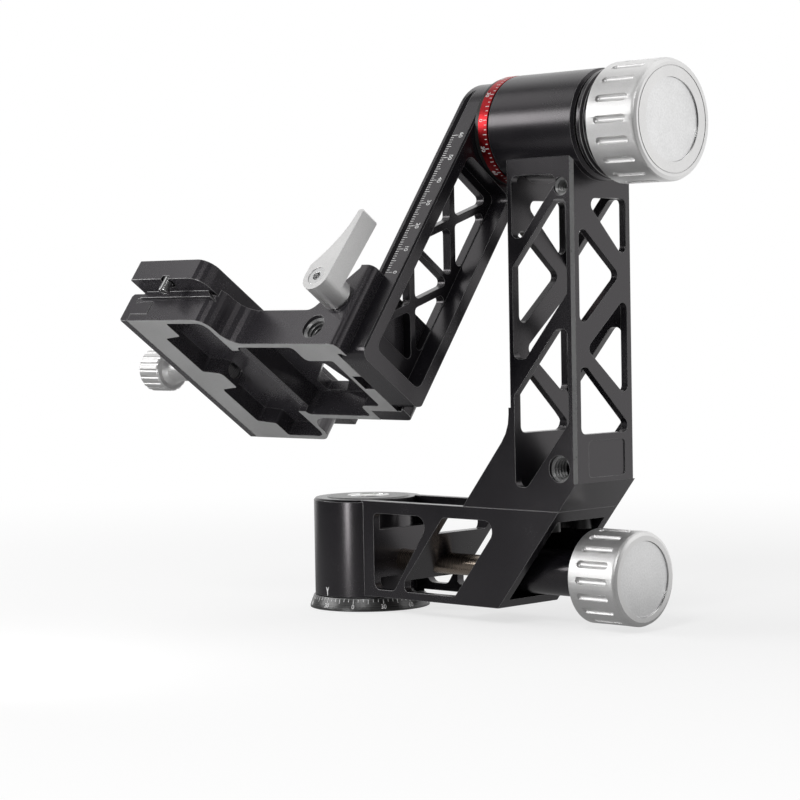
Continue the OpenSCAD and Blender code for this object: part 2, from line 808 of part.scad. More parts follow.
// A fluted knob along X, with a seat for the disc in its face
module fluted_knob(x, l, d, disc_d, bore) difference() {
    turned_x(x) polygon([
        [0, 0],
        [d / 2 - knob_break, 0],
        [d / 2, knob_break],
        [d / 2, l - knob_round],
        [d / 2 - knob_break, l - knob_break],
        [d / 2 - knob_round, l],
        [0, l]
    ]);
    rod_x(x + l - disc_recess - disc_t, x + l + 1, disc_d);
    rod_x(x - 1, x + l - disc_recess - disc_t + 1, bore);
    for (i = [0:flute_count - 1]) rotate([360 / flute_count * (i + 0.5), 0, 0])
        translate([0, 0, d / 2 - flute_depth + flute_w / 2]) {
            rod_x(x + (l - flute_l) / 2 + flute_w / 2, x + (l + flute_l) / 2 - flute_w / 2, flute_w);
            for (end = [-1, 1]) translate([x + l / 2 + end * (flute_l - flute_w) / 2, 0, 0])
                sphere(d = flute_w);
        }
}

module pan_knob() color(silver) translate([0, 0, lock_z])
    fluted_knob(pan_knob_x, pan_knob_l, pan_knob_d, pan_disc_d, stem_d + 2 * fit);

module pan_knob_stem() color(steel) translate([0, 0, lock_z])
    rod_x(stem_x, pan_knob_x + pan_knob_l - disc_recess - disc_t, stem_d);

module pan_knob_cap() color(silver) translate([0, 0, lock_z])
    rod_x(pan_knob_x + pan_knob_l - disc_recess - disc_t, pan_knob_x + pan_knob_l - disc_recess,
        pan_disc_d - 2 * fit);

// Tilt lock

module friction_washer() color("#e8e4d8") on_tilt_axis()
    ring_x(tilt_hub_x2 + gap, tilt_hub_x2 + gap + friction_t, washer_face_d, axle_d + 2 * gap);

module pressure_ring() color(black) on_tilt_axis() difference() {
    turned_x(tilt_hub_x2 + gap + friction_t) polygon([
        [0, 0],
        [pressure_d / 2 + 0.8, 0],
        [pressure_d / 2 + 0.8, 1.5],
        [pressure_d / 2 - 0.6, 2],
        [pressure_d / 2 - 0.6, tilt_knob_gap - gap - friction_t],
        [0, tilt_knob_gap - gap - friction_t]
    ]);
    rod_x(tilt_hub_x2, tilt_knob_x + 1, axle_d + 2 * running);
}

module tilt_knob() color(silver) on_tilt_axis() difference() {
    fluted_knob(tilt_knob_x, tilt_knob_l, tilt_knob_d, tilt_disc_d, insert_d);
    // Fine line around the face
    difference() {
        rod_x(tilt_knob_x + tilt_knob_l - face_line_depth, tilt_knob_x + tilt_knob_l + 1, face_line_d);
        rod_x(tilt_knob_x + tilt_knob_l - 1, tilt_knob_x + tilt_knob_l + 2, face_line_d - 2 * face_line_w);
    }
}

module tilt_knob_insert() color(steel) on_tilt_axis()
    ring_x(tilt_knob_x, tilt_knob_x + tilt_knob_l - disc_recess - disc_t - 0.2,
        insert_d - 2 * fit, axle_d + 2 * running);

module tilt_knob_cap() color(silver) on_tilt_axis()
    rod_x(tilt_knob_x + tilt_knob_l - disc_recess - disc_t, tilt_knob_x + tilt_knob_l - disc_recess,
        tilt_disc_d - 2 * fit);

// Swing arm

// Half of the arm's cross-section, X across and Y out from the middle
function rail_side(s) = [
    [swing_x, s * rail_w / 2],
    [swing_x + rail_edge, s * rail_w / 2],
    [groove_x, s * groove_half],
    [groove_x + rail_groove, s * groove_half],
    [groove_x + rail_groove, s * swing_w / 2],
    [swing_x2 - 0.6, s * swing_w / 2],
    [swing_x2, s * (swing_w / 2 - 0.6)]
];
function reverse(list) = [for (i = [len(list) - 1:-1:0]) list[i]];

// The four windows of one crossed cell, with its top at height z
function crossed_cell(z) =
    let (
        a = cell_half_w,
        b = cell_h / 2,
        mid = z - b,
        slope = b / a,
        up = strut_w / 2 * sqrt(1 + slope * slope),
        side = up / slope
    ) [
        [[-a + side, z], [0, mid + up], [a - side, z]],
        [[-a + side, z - cell_h], [a - side, z - cell_h], [0, mid - up]],
        [[-a, z - up], [-a, z - cell_h + up], [-side, mid]],
        [[a, z - up], [side, mid], [a, z - cell_h + up]]
    ];

module swing_arm() color(black) in_swing() difference() {
    intersection() {
        along_z(swing_low, rail_w) polygon(concat(rail_side(-1), reverse(rail_side(1))));
        along_x(swing_x - 1, swing_x2 + 1) union() {
            polygon(rounded([
                [-rail_w / 2, swing_low],
                [rail_w / 2, swing_low],
                [rail_w / 2, 0],
                [-rail_w / 2, 0]
            ], [swing_corner_r, swing_corner_r, 0, 0]));
            circle(d = rail_w);
        }
    }
    // Pocket with its truss
    along_x(swing_x2 - truss_depth, swing_x2 + 1) polygon(rounded([
        [-swing_w / 2 + swing_rim, swing_low + swing_rim + 0.8],
        [swing_w / 2 - swing_rim, swing_low + swing_rim + 0.8],
        [swing_w / 2 - swing_rim, -pocket_top],
        [-swing_w / 2 + swing_rim, -pocket_top]
    ], 3));
    along_x(swing_x - 1, swing_x2 + 1)
        for (z = [-cell_top, -cell_top - cell_pitch], points = crossed_cell(z))
            polygon(rounded(points, cell_r));
    // Seat of the axle and its screws
    rod_x(swing_x + 3, swing_x2 + 1, pilot_d);
    for (i = [0:3]) rotate([45 + 90 * i, 0, 0]) translate([0, 0, axle_screw_r]) {
        rod_x(swing_x - 1, swing_x2 + 1, axle_screw_d + 2 * gap);
        rod_x(swing_x - 1, swing_x + head_h + 0.4, head_m4 + 2 * gap);
    }
    // Hole of the stop screw
    translate([0, 0, swing_low + rail_stop_h]) rod_x(swing_x - 1, swing_x + 8, rail_stop_d);
}

module tilt_axle() color(steel) in_swing() difference() {
    union() {
        rod_x(swing_x + 3.2, swing_x2, pilot_d - 2 * fit);
        rod_x(swing_x2, red_x, flange_d);
        rod_x(red_x, red_x2, spigot_d);
        rod_x(red_x2, tilt_hub_x + bearing_inset - 0.15, pilot_d - 2 * fit);
        rod_x(red_x2, axle_end, axle_d);
    }
    for (i = [0:3]) rotate([45 + 90 * i, 0, 0]) translate([0, 0, axle_screw_r])
        rod_x(swing_x2 - 1, red_x2 - 1, axle_screw_d);
}

module axle_screws() color(steel) in_swing()
    for (i = [0:3]) rotate([45 + 90 * i, 0, 0]) translate([0, 0, axle_screw_r]) difference() {
        union() {
            rod_x(swing_x + 0.4, swing_x + 0.4 + head_h, head_m4);
            rod_x(swing_x + 0.4 + head_h, red_x2 - 1.5, axle_screw_d - 2 * fit);
        }
        translate([swing_x - 1, 0, 0]) rotate([0, 90, 0]) cylinder(h = 3.4, d = 3.4, $fn = 6);
    }

module tilt_scale_ring() color("#b3161c") in_swing() difference() {
    rod_x(red_x, red_x2, tilt_d);
    rod_x(red_x - 1, red_x2 + 1, spigot_d + 2 * fit);
}

module rail_stop_screw() color(steel) in_swing() translate([0, 0, swing_low + rail_stop_h])
    rod_x(swing_x - rail_stop_out, swing_x + 7.5, rail_stop_d - 2 * fit);

// Lens platform

// Outline of a jaw that hooks over one edge of the rail, from x0 outwards
function hook(s, x0) = let (shift = rail_gap / sqrt(2)) rounded([
    [x0, s * jaw_split_y],
    [swing_x + rail_edge + shift, s * jaw_split_y],
    [groove_x + shift, s * (groove_half + gap)],
    [hook_x, s * (groove_half + gap)],
    [hook_x, s * half_neck],
    [x0, s * half_neck]
], [0, 0, 0, 0.3, hook_r, 0]);

function platform_outline(inset) = let (hc = half_clamp - inset, hn = half_neck - inset) rounded([
    [-clamp_x, -hc],
    [step_x - inset, -hc],
    [step_x - inset, -hn],
    [face_x, -hn],
    [face_x, hn],
    [step_x - inset, hn],
    [step_x - inset, hc],
    [-clamp_x, hc]
], [0, step_r, neck_r, 0, 0, neck_r, step_r, 0]);

// Underside pocket of the clamp, stepped around the jaw guides and the screw
function clamp_pocket() = let (hc = half_clamp - skirt_t, sb = screw_boss_w / 2, gw = tongue_w + skirt_t)
    rounded([
        [guide_x, -hc],
        [step_x - skirt_t, -hc],
        [step_x - skirt_t, hc],
        [guide_x, hc],
        [guide_x, half_clamp - gw],
        [frame_x, half_clamp - gw - 1.4],
        [frame_x, sb + 1.4],
        [screw_boss_x, sb],
        [screw_boss_x, -sb],
        [frame_x, -sb - 1.4],
        [frame_x, -half_clamp + gw + 1.4],
        [guide_x, -half_clamp + gw]
    ], [1, step_r - skirt_t, step_r - skirt_t, 1, 1, 1, 2, 1, 2, 1, 1, 1]);

// Space above the seat that the lens plate and the jaws need
module plate_space() along_y(-half_clamp - 1, half_clamp + 1) polygon([
    [-clamp_x - 1, seat_z],
    [plate_x2 + gap, seat_z],
    [plate_x2 + gap, seat_z + dove_land],
    [plate_x2 + gap - dove_run, slab_z - gap],
    [plate_x2 + gap, slab_z - gap],
    [plate_x2 + gap, cheek_top],
    [-clamp_x - 1, cheek_top]
]);

module bracket() color(black) in_swing() difference() {
    union() {
        along_z(plat_z, plat_top) polygon(platform_outline(0));
        along_y(-half_neck, half_neck) polygon(rounded([
            [gusset_x - 6, plat_top - 1],
            [face_x, plat_top - 1],
            [face_x, cheek_top],
            [gusset_x2, cheek_top],
            [gusset_x, plat_top],
            [gusset_x - 6, plat_top]
        ], [0, 0, 0, 2, 5, 0]));
        along_z(plat_z, cheek_top) polygon(hook(-1, face_x - 2));
    }
    plate_space();
    along_z(plat_z - 1, seat_z - roof_t) polygon(clamp_pocket());
    // Pocket under the neck, around the block of the accessory thread
    along_z(plat_z - 1, plat_z + neck_pocket_h) polygon(rounded([
        [neck_pocket_x, -half_neck + skirt_t],
        [thread_block_x, -half_neck + skirt_t],
        [thread_block_x, -half_neck + thread_block_l],
        [face_x - cheek_wall, -half_neck + thread_block_l],
        [face_x - cheek_wall, jaw_split_y - 3],
        [jaw_split_x - 3, jaw_split_y - 3],
        [jaw_split_x - 3, half_neck - skirt_t],
        [neck_pocket_x, half_neck - skirt_t]
    ], [2, 2, 2, 1, 2, 2, 2, 2]));
    // Low rib between the two pockets
    along_z(plat_z - 1, plat_z + rib_rise) polygon([
        [step_x - skirt_t - 1, -half_neck + skirt_t + 2],
        [neck_pocket_x + 1, -half_neck + skirt_t + 2],
        [neck_pocket_x + 1, half_neck - skirt_t - 2],
        [step_x - skirt_t - 1, half_neck - skirt_t - 2]
    ]);
    // Window through the roof of the neck
    along_z(plat_z, plat_top + 1) polygon(rounded([
        [roof_x, roof_y - roof_short],
        [roof_x + roof_long, roof_tip],
        [roof_x2, roof_y - roof_short],
        [roof_x + roof_back, roof_y],
        [roof_x, roof_y]
    ], 1));
    // Seat of the moving rail jaw
    along_z(plat_z - 1, cheek_top + 1) polygon([
        [jaw_split_x, jaw_split_y],
        [face_x + 1, jaw_split_y],
        [face_x + 1, half_neck + 1],
        [jaw_split_x, half_neck + 1]
    ]);
    translate([stud_x, 0, stud_z]) rod_y(-half_neck - 1, half_neck + 1, stud_d + 2 * running);
    translate([large_hole2_x, 0, large_hole2_z])
        rod_y(-half_neck - 1, -half_neck + large_hole2_l, large_thread_d);
    // Notch for the stop screw, closed above it
    along_x(face_x - notch_depth, face_x + 1) polygon([
        [-notch_w / 2, plat_z - 1],
        [notch_w / 2, plat_z - 1],
        [notch_w / 2, plat_z + notch_h],
        [-notch_w / 2, plat_z + notch_h]
    ]);
    // Guides of the quick-release jaw, and its screw
    for (s = [-1, 1]) along_x(-clamp_x - 1, -clamp_x + tongue_l + 0.6) polygon([
        [s * (half_clamp + 1), tongue_z - 0.2],
        [s * (half_clamp - tongue_w - 0.2), tongue_z - 0.2],
        [s * (half_clamp - tongue_w - 0.2), tongue_z + tongue_h + 0.2],
        [s * (half_clamp + 1), tongue_z + tongue_h + 0.2]
    ]);
    translate([0, 0, screw_z]) rod_x(-clamp_x - 1, screw_boss_x + 1, screw_d + 2 * running);
}

module rail_jaw() color(black) in_swing() difference() {
    along_z(plat_z, cheek_top - 0.5) polygon(hook(1, jaw_split_x + gap));
    translate([stud_x, 0, stud_z]) rod_y(0, half_neck + 1, stud_d + 2 * running);
}

module lever_washer() color(steel) in_swing() translate([stud_x, 0, stud_z]) difference() {
    rod_y(-half_neck - lever_washer_t, -half_neck, lever_d - 0.6);
    rod_y(-half_neck - lever_washer_t - 1, -half_neck + 1, stud_d + 2 * running);
}

module clamp_stud() color(steel) in_swing() translate([stud_x, 0, stud_z])
    rod_y(lever_y - lever_hub_l + lever_screw_h, half_neck - 0.4, stud_d);

// Front edge of the lever's handle, from the tip down to the hub, drawn in between
function lever_front(t) = let (x = lever_d / 2 - lever_tip - (lever_d - lever_tip) * t * t)
    [x, lever_l - 0.6 - (lever_l - 5) * t];

module clamp_lever() color(silver) in_swing() translate([stud_x, 0, stud_z])
    rotate([0, lever_lean, 0]) difference() {
        union() {
            rod_y(lever_y - lever_hub_l, lever_y, lever_d);
            along_y(lever_y - lever_hub_l, lever_y - lever_hub_l + lever_t) polygon(concat(
                [[lever_d / 2, 0], [lever_d / 2, lever_l - 0.8], [lever_d / 2 - 0.8, lever_l]],
                [for (i = [0:lever_steps]) lever_front(i / lever_steps)],
                [[-lever_d / 2, 0]]
            ));
        }
        rod_y(lever_y - lever_hub_l - 1, lever_y - lever_hub_l + lever_screw_h, lever_screw_d);
        rod_y(lever_y - lever_hub_l, lever_y + 1, stud_d + 2 * fit);
    }

module lever_screw() color(silver) in_swing() translate([stud_x, 0, stud_z]) difference() {
    rod_y(lever_y - lever_hub_l + 0.2, lever_y - lever_hub_l + lever_screw_h, lever_screw_d - 2 * fit);
    translate([0, lever_y - lever_hub_l - 1, 0]) rotate([-90, 0, 0]) cylinder(h = 3, d = 3.4, $fn = 6);
}

// Quick-release clamp

module plate_jaw() color(black) in_swing() difference() {
    union() {
        // Jaw strip with its lip over the dovetail of the plate
        along_y(-half_clamp, half_clamp) polygon([
            [jaw_x2, plat_z + 0.8],
            [jaw_x2 + 0.8, plat_z],
            [jaw_x, plat_z],
            [jaw_x, seat_z + gap],
            [plate_x - gap, seat_z + gap],
            [plate_x - gap, seat_z + dove_land + 0.1],
            [plate_x - gap + dove_run - gap, slab_z - gap],
            [jaw_x2 + 1, slab_z - gap],
            [jaw_x2, slab_z - gap - 1]
        ]);
        for (s = [-1, 1]) along_x(jaw_x - 0.5, -clamp_x + tongue_l) polygon([
            [s * half_clamp, tongue_z],
            [s * (half_clamp - tongue_w), tongue_z],
            [s * (half_clamp - tongue_w), tongue_z + tongue_h],
            [s * half_clamp, tongue_z + tongue_h]
        ]);
    }
    translate([0, 0, screw_z]) rod_x(jaw_x2 - 1, jaw_x + 1, screw_d + 2 * running);
}

module plate_screw() color(steel) in_swing() translate([0, 0, screw_z])
    rod_x(plate_knob_x - plate_knob_l + 2, screw_boss_x - 0.5, screw_d);

module plate_knob() color(silver) in_swing() translate([0, 0, screw_z]) difference() {
    union() {
        turned_x(plate_knob_x - plate_knob_l) polygon([
            [0, 0],
            [plate_knob_d / 2 - 0.8, 0],
            [plate_knob_d / 2, 0.8],
            [plate_knob_d / 2, plate_knob_l - 0.8],
            [plate_knob_d / 2 - 0.8, plate_knob_l],
            [0, plate_knob_l]
        ]);
        turned_x(plate_knob_x) polygon([
            [0, 0],
            [collar_d / 2 + 1.6, 0],
            [collar_d / 2, 1.6],
            [collar_d / 2, collar_l - gap],
            [0, collar_l - gap]
        ]);
    }
    for (i = [0:knurl_count - 1]) rotate([360 / knurl_count * i, 0, 0])
        translate([0, 0, plate_knob_d / 2 + 0.3])
            rod_x(plate_knob_x - plate_knob_l - 1, plate_knob_x + 0.02, 1.5);
    rod_x(plate_knob_x - plate_knob_l + 2, plate_knob_x + collar_l, screw_d + 2 * fit);
}

module lens_plate() color(black) in_swing() difference() {
    union() {
        along_z(slab_z, slab_z + slab_t) polygon(rounded([
            [plate_x, plate_y],
            [plate_x2, plate_y],
            [plate_x2, plate_y2],
            [plate_x, plate_y2]
        ], [1, 6, 1, 6]));
        along_y(plate_y + dove_setback, plate_y2 - dove_setback) polygon([
            [plate_x, dove_z],
            [plate_x2, dove_z],
            [plate_x2, dove_z + dove_land],
            [plate_x2 - dove_run, slab_z],
            [plate_x2 - dove_run, slab_z + 0.5],
            [plate_x + dove_run, slab_z + 0.5],
            [plate_x + dove_run, slab_z],
            [plate_x, dove_z + dove_land]
        ]);
    }
    // Slot of the camera screws, wide below for their heads
    along_z(dove_z - 1, slab_z + slab_t + 1) slot(small_thread_d + 0.5);
    along_z(dove_z - 1, slab_z + camera_head_h) slot(camera_head_d + 0.6);
    for (y = stop_places) translate([plate_mid, y, 0]) {
        rod_z(slab_z - 1, slab_z + slab_t - 2, stop_shank_d);
        rod_z(slab_z - 1, slab_z + stop_sink, stop_recess_d);
    }
}

module slot(w) translate([plate_mid, (plate_y + plate_y2) / 2]) {
    square([w, slot_l], center = true);
    for (s = [-1, 1]) translate([0, s * slot_l / 2]) circle(d = w);
}

module plate_stop_screws() color(silver) in_swing()
    for (y = stop_places) translate([plate_mid, y, 0]) difference() {
        union() {
            rod_z(slab_z - stop_h, slab_z + stop_sink, stop_d);
            rod_z(slab_z, slab_z + slab_t - 2.5, stop_shank_d - 2 * fit);
        }
        translate([0, 0, slab_z - stop_h - 1]) cylinder(h = 2.2, d = 2.2, $fn = 6);
    }

module camera_screws() color(steel) in_swing()
    for (s = [-1, 1]) translate([plate_mid, (plate_y + plate_y2) / 2 + s * camera_pitch, 0]) difference() {
        union() {
            rod_z(slab_z + 0.3, slab_z + camera_head_h - 0.05, camera_head_d);
            rod_z(slab_z + camera_head_h - 0.05, slab_z + slab_t + camera_thread_l, small_thread_d);
        }
        translate([-camera_head_d, -0.8, slab_z - 1]) cube([2 * camera_head_d, 1.6, 2.8]);
    }

base_body();
pan_scale_ring();
tripod_bush();
spindle_washer();
spindle_nut();
lower_arm();
pan_bearings();
hub_cap();
level_bezel();
level_vial();
column();
column_screws();
knob_bush();
tilt_bearings();
bearing_spacer();
thrust_washer();
lock_rod();
brake_pad();
pan_knob();
pan_knob_stem();
pan_knob_cap();
friction_washer();
pressure_ring();
tilt_knob();
tilt_knob_insert();
tilt_knob_cap();
swing_arm();
tilt_axle();
axle_screws();
tilt_scale_ring();
rail_stop_screw();
bracket();
rail_jaw();
lever_washer();
clamp_stud();
clamp_lever();
lever_screw();
plate_jaw();
plate_screw();
plate_knob();
lens_plate();
plate_stop_screws();
camera_screws();
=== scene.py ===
"""The looks of a gimbal head for long lenses, dressed piece by piece in the order of its assembly."""
import json
import math

import bmesh
import bpy
from mathutils import Matrix, Vector


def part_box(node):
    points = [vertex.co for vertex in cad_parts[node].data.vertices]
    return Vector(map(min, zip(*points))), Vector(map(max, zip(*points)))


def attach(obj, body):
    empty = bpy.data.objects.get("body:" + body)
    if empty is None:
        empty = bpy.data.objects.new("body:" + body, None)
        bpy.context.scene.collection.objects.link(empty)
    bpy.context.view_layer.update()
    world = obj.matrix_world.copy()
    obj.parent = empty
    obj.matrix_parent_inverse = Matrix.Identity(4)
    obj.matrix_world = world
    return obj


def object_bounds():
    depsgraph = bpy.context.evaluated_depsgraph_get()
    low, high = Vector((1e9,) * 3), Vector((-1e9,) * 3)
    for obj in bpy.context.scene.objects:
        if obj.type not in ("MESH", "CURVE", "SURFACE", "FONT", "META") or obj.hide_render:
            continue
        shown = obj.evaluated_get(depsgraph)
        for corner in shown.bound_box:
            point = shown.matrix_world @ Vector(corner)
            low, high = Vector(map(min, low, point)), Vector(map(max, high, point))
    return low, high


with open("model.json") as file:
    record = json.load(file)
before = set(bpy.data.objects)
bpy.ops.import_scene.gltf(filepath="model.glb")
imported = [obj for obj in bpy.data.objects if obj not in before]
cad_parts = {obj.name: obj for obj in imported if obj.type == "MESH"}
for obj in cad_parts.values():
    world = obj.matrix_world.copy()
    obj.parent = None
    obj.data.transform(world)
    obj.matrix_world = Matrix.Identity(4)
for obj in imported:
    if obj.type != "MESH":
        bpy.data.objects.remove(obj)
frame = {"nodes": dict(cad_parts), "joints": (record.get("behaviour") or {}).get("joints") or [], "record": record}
cad_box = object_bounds()
mm = 0.001


# Base
# The base is a turned aluminium foot with the pan spindle standing on it, made in one clamping
# on a lathe, blasted and anodised black. Its flat bottom sits on the support.
def add(tree, kind, inputs=None, **settings):
    """Adds one shader node. Each input takes a plain value or the output of another node."""
    made = tree.nodes.new("ShaderNode" + kind)
    for name, value in settings.items():
        setattr(made, name, value)
    for name, value in (inputs or {}).items():
        if isinstance(value, bpy.types.NodeSocket):
            tree.links.new(value, made.inputs[name])
        else:
            made.inputs[name].default_value = value
    return made


def effect(name, takes, gives):
    """Starts a node group with the named inputs and outputs."""
    group = bpy.data.node_groups.new(name, "ShaderNodeTree")
    for way, sockets in (("INPUT", takes), ("OUTPUT", gives)):
        for title, kind in sockets:
            group.interface.new_socket(title, in_out=way, socket_type="NodeSocket" + kind)
    return group, group.nodes.new("NodeGroupInput").outputs, group.nodes.new("NodeGroupOutput").inputs


def give(group, gives, **outputs):
    """Joins the results of a node group to its outputs."""
    for title, socket in outputs.items():
        group.links.new(socket, gives[title])


# Blasting leaves fine pits, and the finish is a little uneven over a hand's width
blasted, takes, gives = effect(
    "blasted_grain",
    [("Tone", "Color"), ("Light Tone", "Color"), ("Grains", "Float"),
     ("Smooth", "Float"), ("Rough", "Float")],
    [("Colour", "Color"), ("Roughness", "Float"), ("Height", "Float")])
place = add(blasted, "TexCoord").outputs["Object"]
pits = add(blasted, "TexNoise", {"Vector": place, "Scale": takes["Grains"], "Detail": 2.0}).outputs[0]
patches = add(blasted, "TexNoise", {"Vector": place, "Scale": 48.0, "Detail": 4.0}).outputs[0]
both = add(blasted, "Math", {0: pits, 1: 0.65, 2: patches}, operation="MULTIPLY_ADD").outputs[0]
lightness = add(blasted, "MapRange", {0: both, 1: 0.6, 2: 1.1}).outputs[0]
tone = add(blasted, "Mix", {0: lightness, 6: takes["Tone"], 7: takes["Light Tone"]}, data_type="RGBA")
sheen = add(blasted, "MapRange", {0: both, 1: 0.6, 2: 1.1, 3: takes["Smooth"], 4: takes["Rough"]}).outputs[0]
give(blasted, gives, Colour=tone.outputs[2], Roughness=sheen, Height=pits)


# Painted highlight: outer edges, which are a little rounded, get a lighter tone standing in for the light they
# catch, but inner corners don't
edge_highlight_tree, takes, gives = effect(
    "painted_edge_highlight",
    [("Colour", "Color"), ("Edge Tone", "Color"), ("Width", "Float")],
    [("Colour", "Color"), ("Normal", "Vector")])
flat = add(edge_highlight_tree, "NewGeometry").outputs["Normal"]
rounded = add(edge_highlight_tree, "Bevel", {"Radius": takes["Width"]}, samples=6).outputs["Normal"]
alike = add(edge_highlight_tree, "VectorMath", {0: flat, 1: rounded}, operation="DOT_PRODUCT").outputs["Value"]
edge = add(edge_highlight_tree, "MapRange", {0: alike, 1: 0.985, 2: 0.86}).outputs[0]
free = add(edge_highlight_tree, "AmbientOcclusion", {"Distance": 0.8 * mm}, samples=4, only_local=True).outputs["AO"]
outer = add(edge_highlight_tree, "MapRange", {0: free, 1: 0.62, 2: 0.85}).outputs[0]
share = add(edge_highlight_tree, "Math", {0: edge, 1: outer}, operation="MULTIPLY").outputs[0]
tone = add(edge_highlight_tree, "Mix", {0: share, 6: takes["Colour"], 7: takes["Edge Tone"]}, data_type="RGBA")
give(edge_highlight_tree, gives, Colour=tone.outputs[2], Normal=rounded)


# Painted shade: the colour is darkened where ambient occlusion finds a groove or gap, standing in for the shade
# that falls there
groove_shade_tree, takes, gives = effect(
    "painted_groove_shade",
    [("Colour", "Color"), ("Depth", "Float")],
    [("Colour", "Color")])
shade = add(groove_shade_tree, "AmbientOcclusion", {"Distance": takes["Depth"]}, samples=6, only_local=True)
free = shade.outputs["AO"]
unshaded = add(groove_shade_tree, "MapRange", {0: free, 1: 0.3, 2: 0.65, 3: 0.35, 4: 1.0}).outputs[0]
tone = add(groove_shade_tree, "Mix", {0: 1.0, 6: takes["Colour"], 7: unshaded}, data_type="RGBA", blend_type="MULTIPLY")
give(groove_shade_tree, gives, Colour=tone.outputs[2])


def finish(name, group, values, bump, depth=0.05 * mm, edge=None, grooves=None, **sockets):
    """A material that takes its colour, roughness and relief from a node group.

    Painted highlights on the outer edges take a tone and a width, and painted shade in hollows takes a depth.
    """
    material = bpy.data.materials.new(name)
    material.use_nodes = True
    tree = material.node_tree
    shader = tree.nodes["Principled BSDF"]
    for title, value in sockets.items():
        shader.inputs[title.replace("_", " ")].default_value = value
    surface = add(tree, "Group", values, node_tree=group).outputs
    relief = add(tree, "Bump", {"Height": surface["Height"], "Strength": bump, "Distance": depth})
    colour = surface["Colour"]
    # Painted highlight on the outer edges
    if edge:
        used = add(tree, "Group", {"Colour": colour, **edge}, node_tree=edge_highlight_tree).outputs
        tree.links.new(used["Normal"], relief.inputs["Normal"])
        colour = used["Colour"]
    # Painted shade in hollows, from ambient occlusion
    if grooves:
        colour = add(tree, "Group", {"Colour": colour, "Depth": grooves}, node_tree=groove_shade_tree).outputs["Colour"]
    tree.links.new(colour, shader.inputs["Base Color"])
    tree.links.new(surface["Roughness"], shader.inputs["Roughness"])
    tree.links.new(relief.outputs["Normal"], shader.inputs["Normal"])
    return material


def grey(value, warm=0.0):
    """A neutral colour, a little warmer or cooler if asked."""
    return (value * (1 + warm), value, value * (1 - warm), 1.0)


# The black finish carries a painted highlight on its outer edges
black_blasted = finish(
    "black_blasted", blasted,
    {"Tone": (0.0064, 0.0060, 0.0078, 1), "Light Tone": (0.0105, 0.0098, 0.0120, 1), "Grains": 2600.0,
     "Smooth": 0.22, "Rough": 0.28}, 0.06, edge={"Edge Tone": grey(0.18), "Width": 0.4 * mm},
    **{"Specular IOR Level": 0.72, "Specular Tint": (1.0, 0.95, 0.98, 1.0)})
# The broken edges of the black pieces are rounded, and their lighter grey is a painted highlight standing in for
# the light they catch
black_edge_highlight = finish(
    "black_edge_highlight", blasted,
    {"Tone": grey(0.20), "Light Tone": grey(0.28), "Grains": 1400.0,
     "Smooth": 0.24, "Rough": 0.34}, 0.12, Metallic=0.2, **{"Specular IOR Level": 0.8})


def dress(node, width, *finishes):
    """Gives a node its finishes and breaks its sharp edges. The last finish goes on those edges."""
    piece = frame["nodes"][node]
    piece.data.materials.clear()
    for material in finishes:
        piece.data.materials.append(material)
    joined = piece.modifiers.new("joined_points", "WELD")
    joined.merge_threshold = 0.001 * mm
    whole = piece.modifiers.new("whole_faces", "DECIMATE")
    whole.decimate_type = "DISSOLVE"
    whole.angle_limit = math.radians(0.4)
    edges = piece.modifiers.new("broken_edges", "BEVEL")
    edges.width = width
    edges.segments = 2
    edges.limit_method = "ANGLE"
    edges.angle_limit = math.radians(28)
    edges.use_clamp_overlap = True
    edges.harden_normals = True
    edges.material = len(finishes) - 1
    shading = piece.modifiers.new("even_shading", "WEIGHTED_NORMAL")
    shading.keep_sharp = True


fine_edge = 0.15 * mm
clear_edge = 0.45 * mm
dress("base_body", fine_edge, black_blasted, black_edge_highlight)

# Pan scale ring
# A black ring with a conical face, turned from aluminium and pressed on the foot of the base.
# Its degrees are printed in white: a line for every 5 degrees and a number for every 30.
turned, takes, gives = effect(
    "turning_lines",
    [("Tone", "Color"), ("Light Tone", "Color"), ("Centre", "Vector"), ("Axis", "Vector"),
     ("Lines", "Float"), ("Smooth", "Float"), ("Rough", "Float")],
    [("Colour", "Color"), ("Roughness", "Float"), ("Height", "Float")])
place = add(turned, "TexCoord").outputs["Object"]
arm = add(turned, "VectorMath", {0: place, 1: takes["Centre"]}, operation="SUBTRACT").outputs[0]
along = add(turned, "VectorMath", {0: arm, 1: takes["Axis"]}, operation="DOT_PRODUCT").outputs["Value"]
around = add(turned, "VectorMath", {0: arm, 1: takes["Axis"]}, operation="CROSS_PRODUCT").outputs[0]
radius = add(turned, "VectorMath", {0: around}, operation="LENGTH").outputs["Value"]
path = add(turned, "Math", {0: along, 1: radius}, operation="ADD").outputs[0]
feed = add(turned, "Math", {0: path, 1: takes["Lines"]}, operation="MULTIPLY").outputs[0]
lines = add(turned, "TexNoise", {"W": feed, "Scale": 1.0, "Detail": 2.0}, noise_dimensions="1D").outputs[0]
specks = add(turned, "TexNoise", {"Vector": place, "Scale": 1800.0, "Detail": 2.0}).outputs[0]
both = add(turned, "Math", {0: lines, 1: specks}, operation="ADD").outputs[0]
lightness = add(turned, "MapRange", {0: both, 1: 0.7, 2: 1.3}).outputs[0]
tone = add(turned, "Mix", {0: lightness, 6: takes["Tone"], 7: takes["Light Tone"]}, data_type="RGBA")
sheen = add(turned, "MapRange", {0: lines, 1: 0.3, 2: 0.7, 3: takes["Smooth"], 4: takes["Rough"]}).outputs[0]
give(turned, gives, Colour=tone.outputs[2], Roughness=sheen, Height=lines)

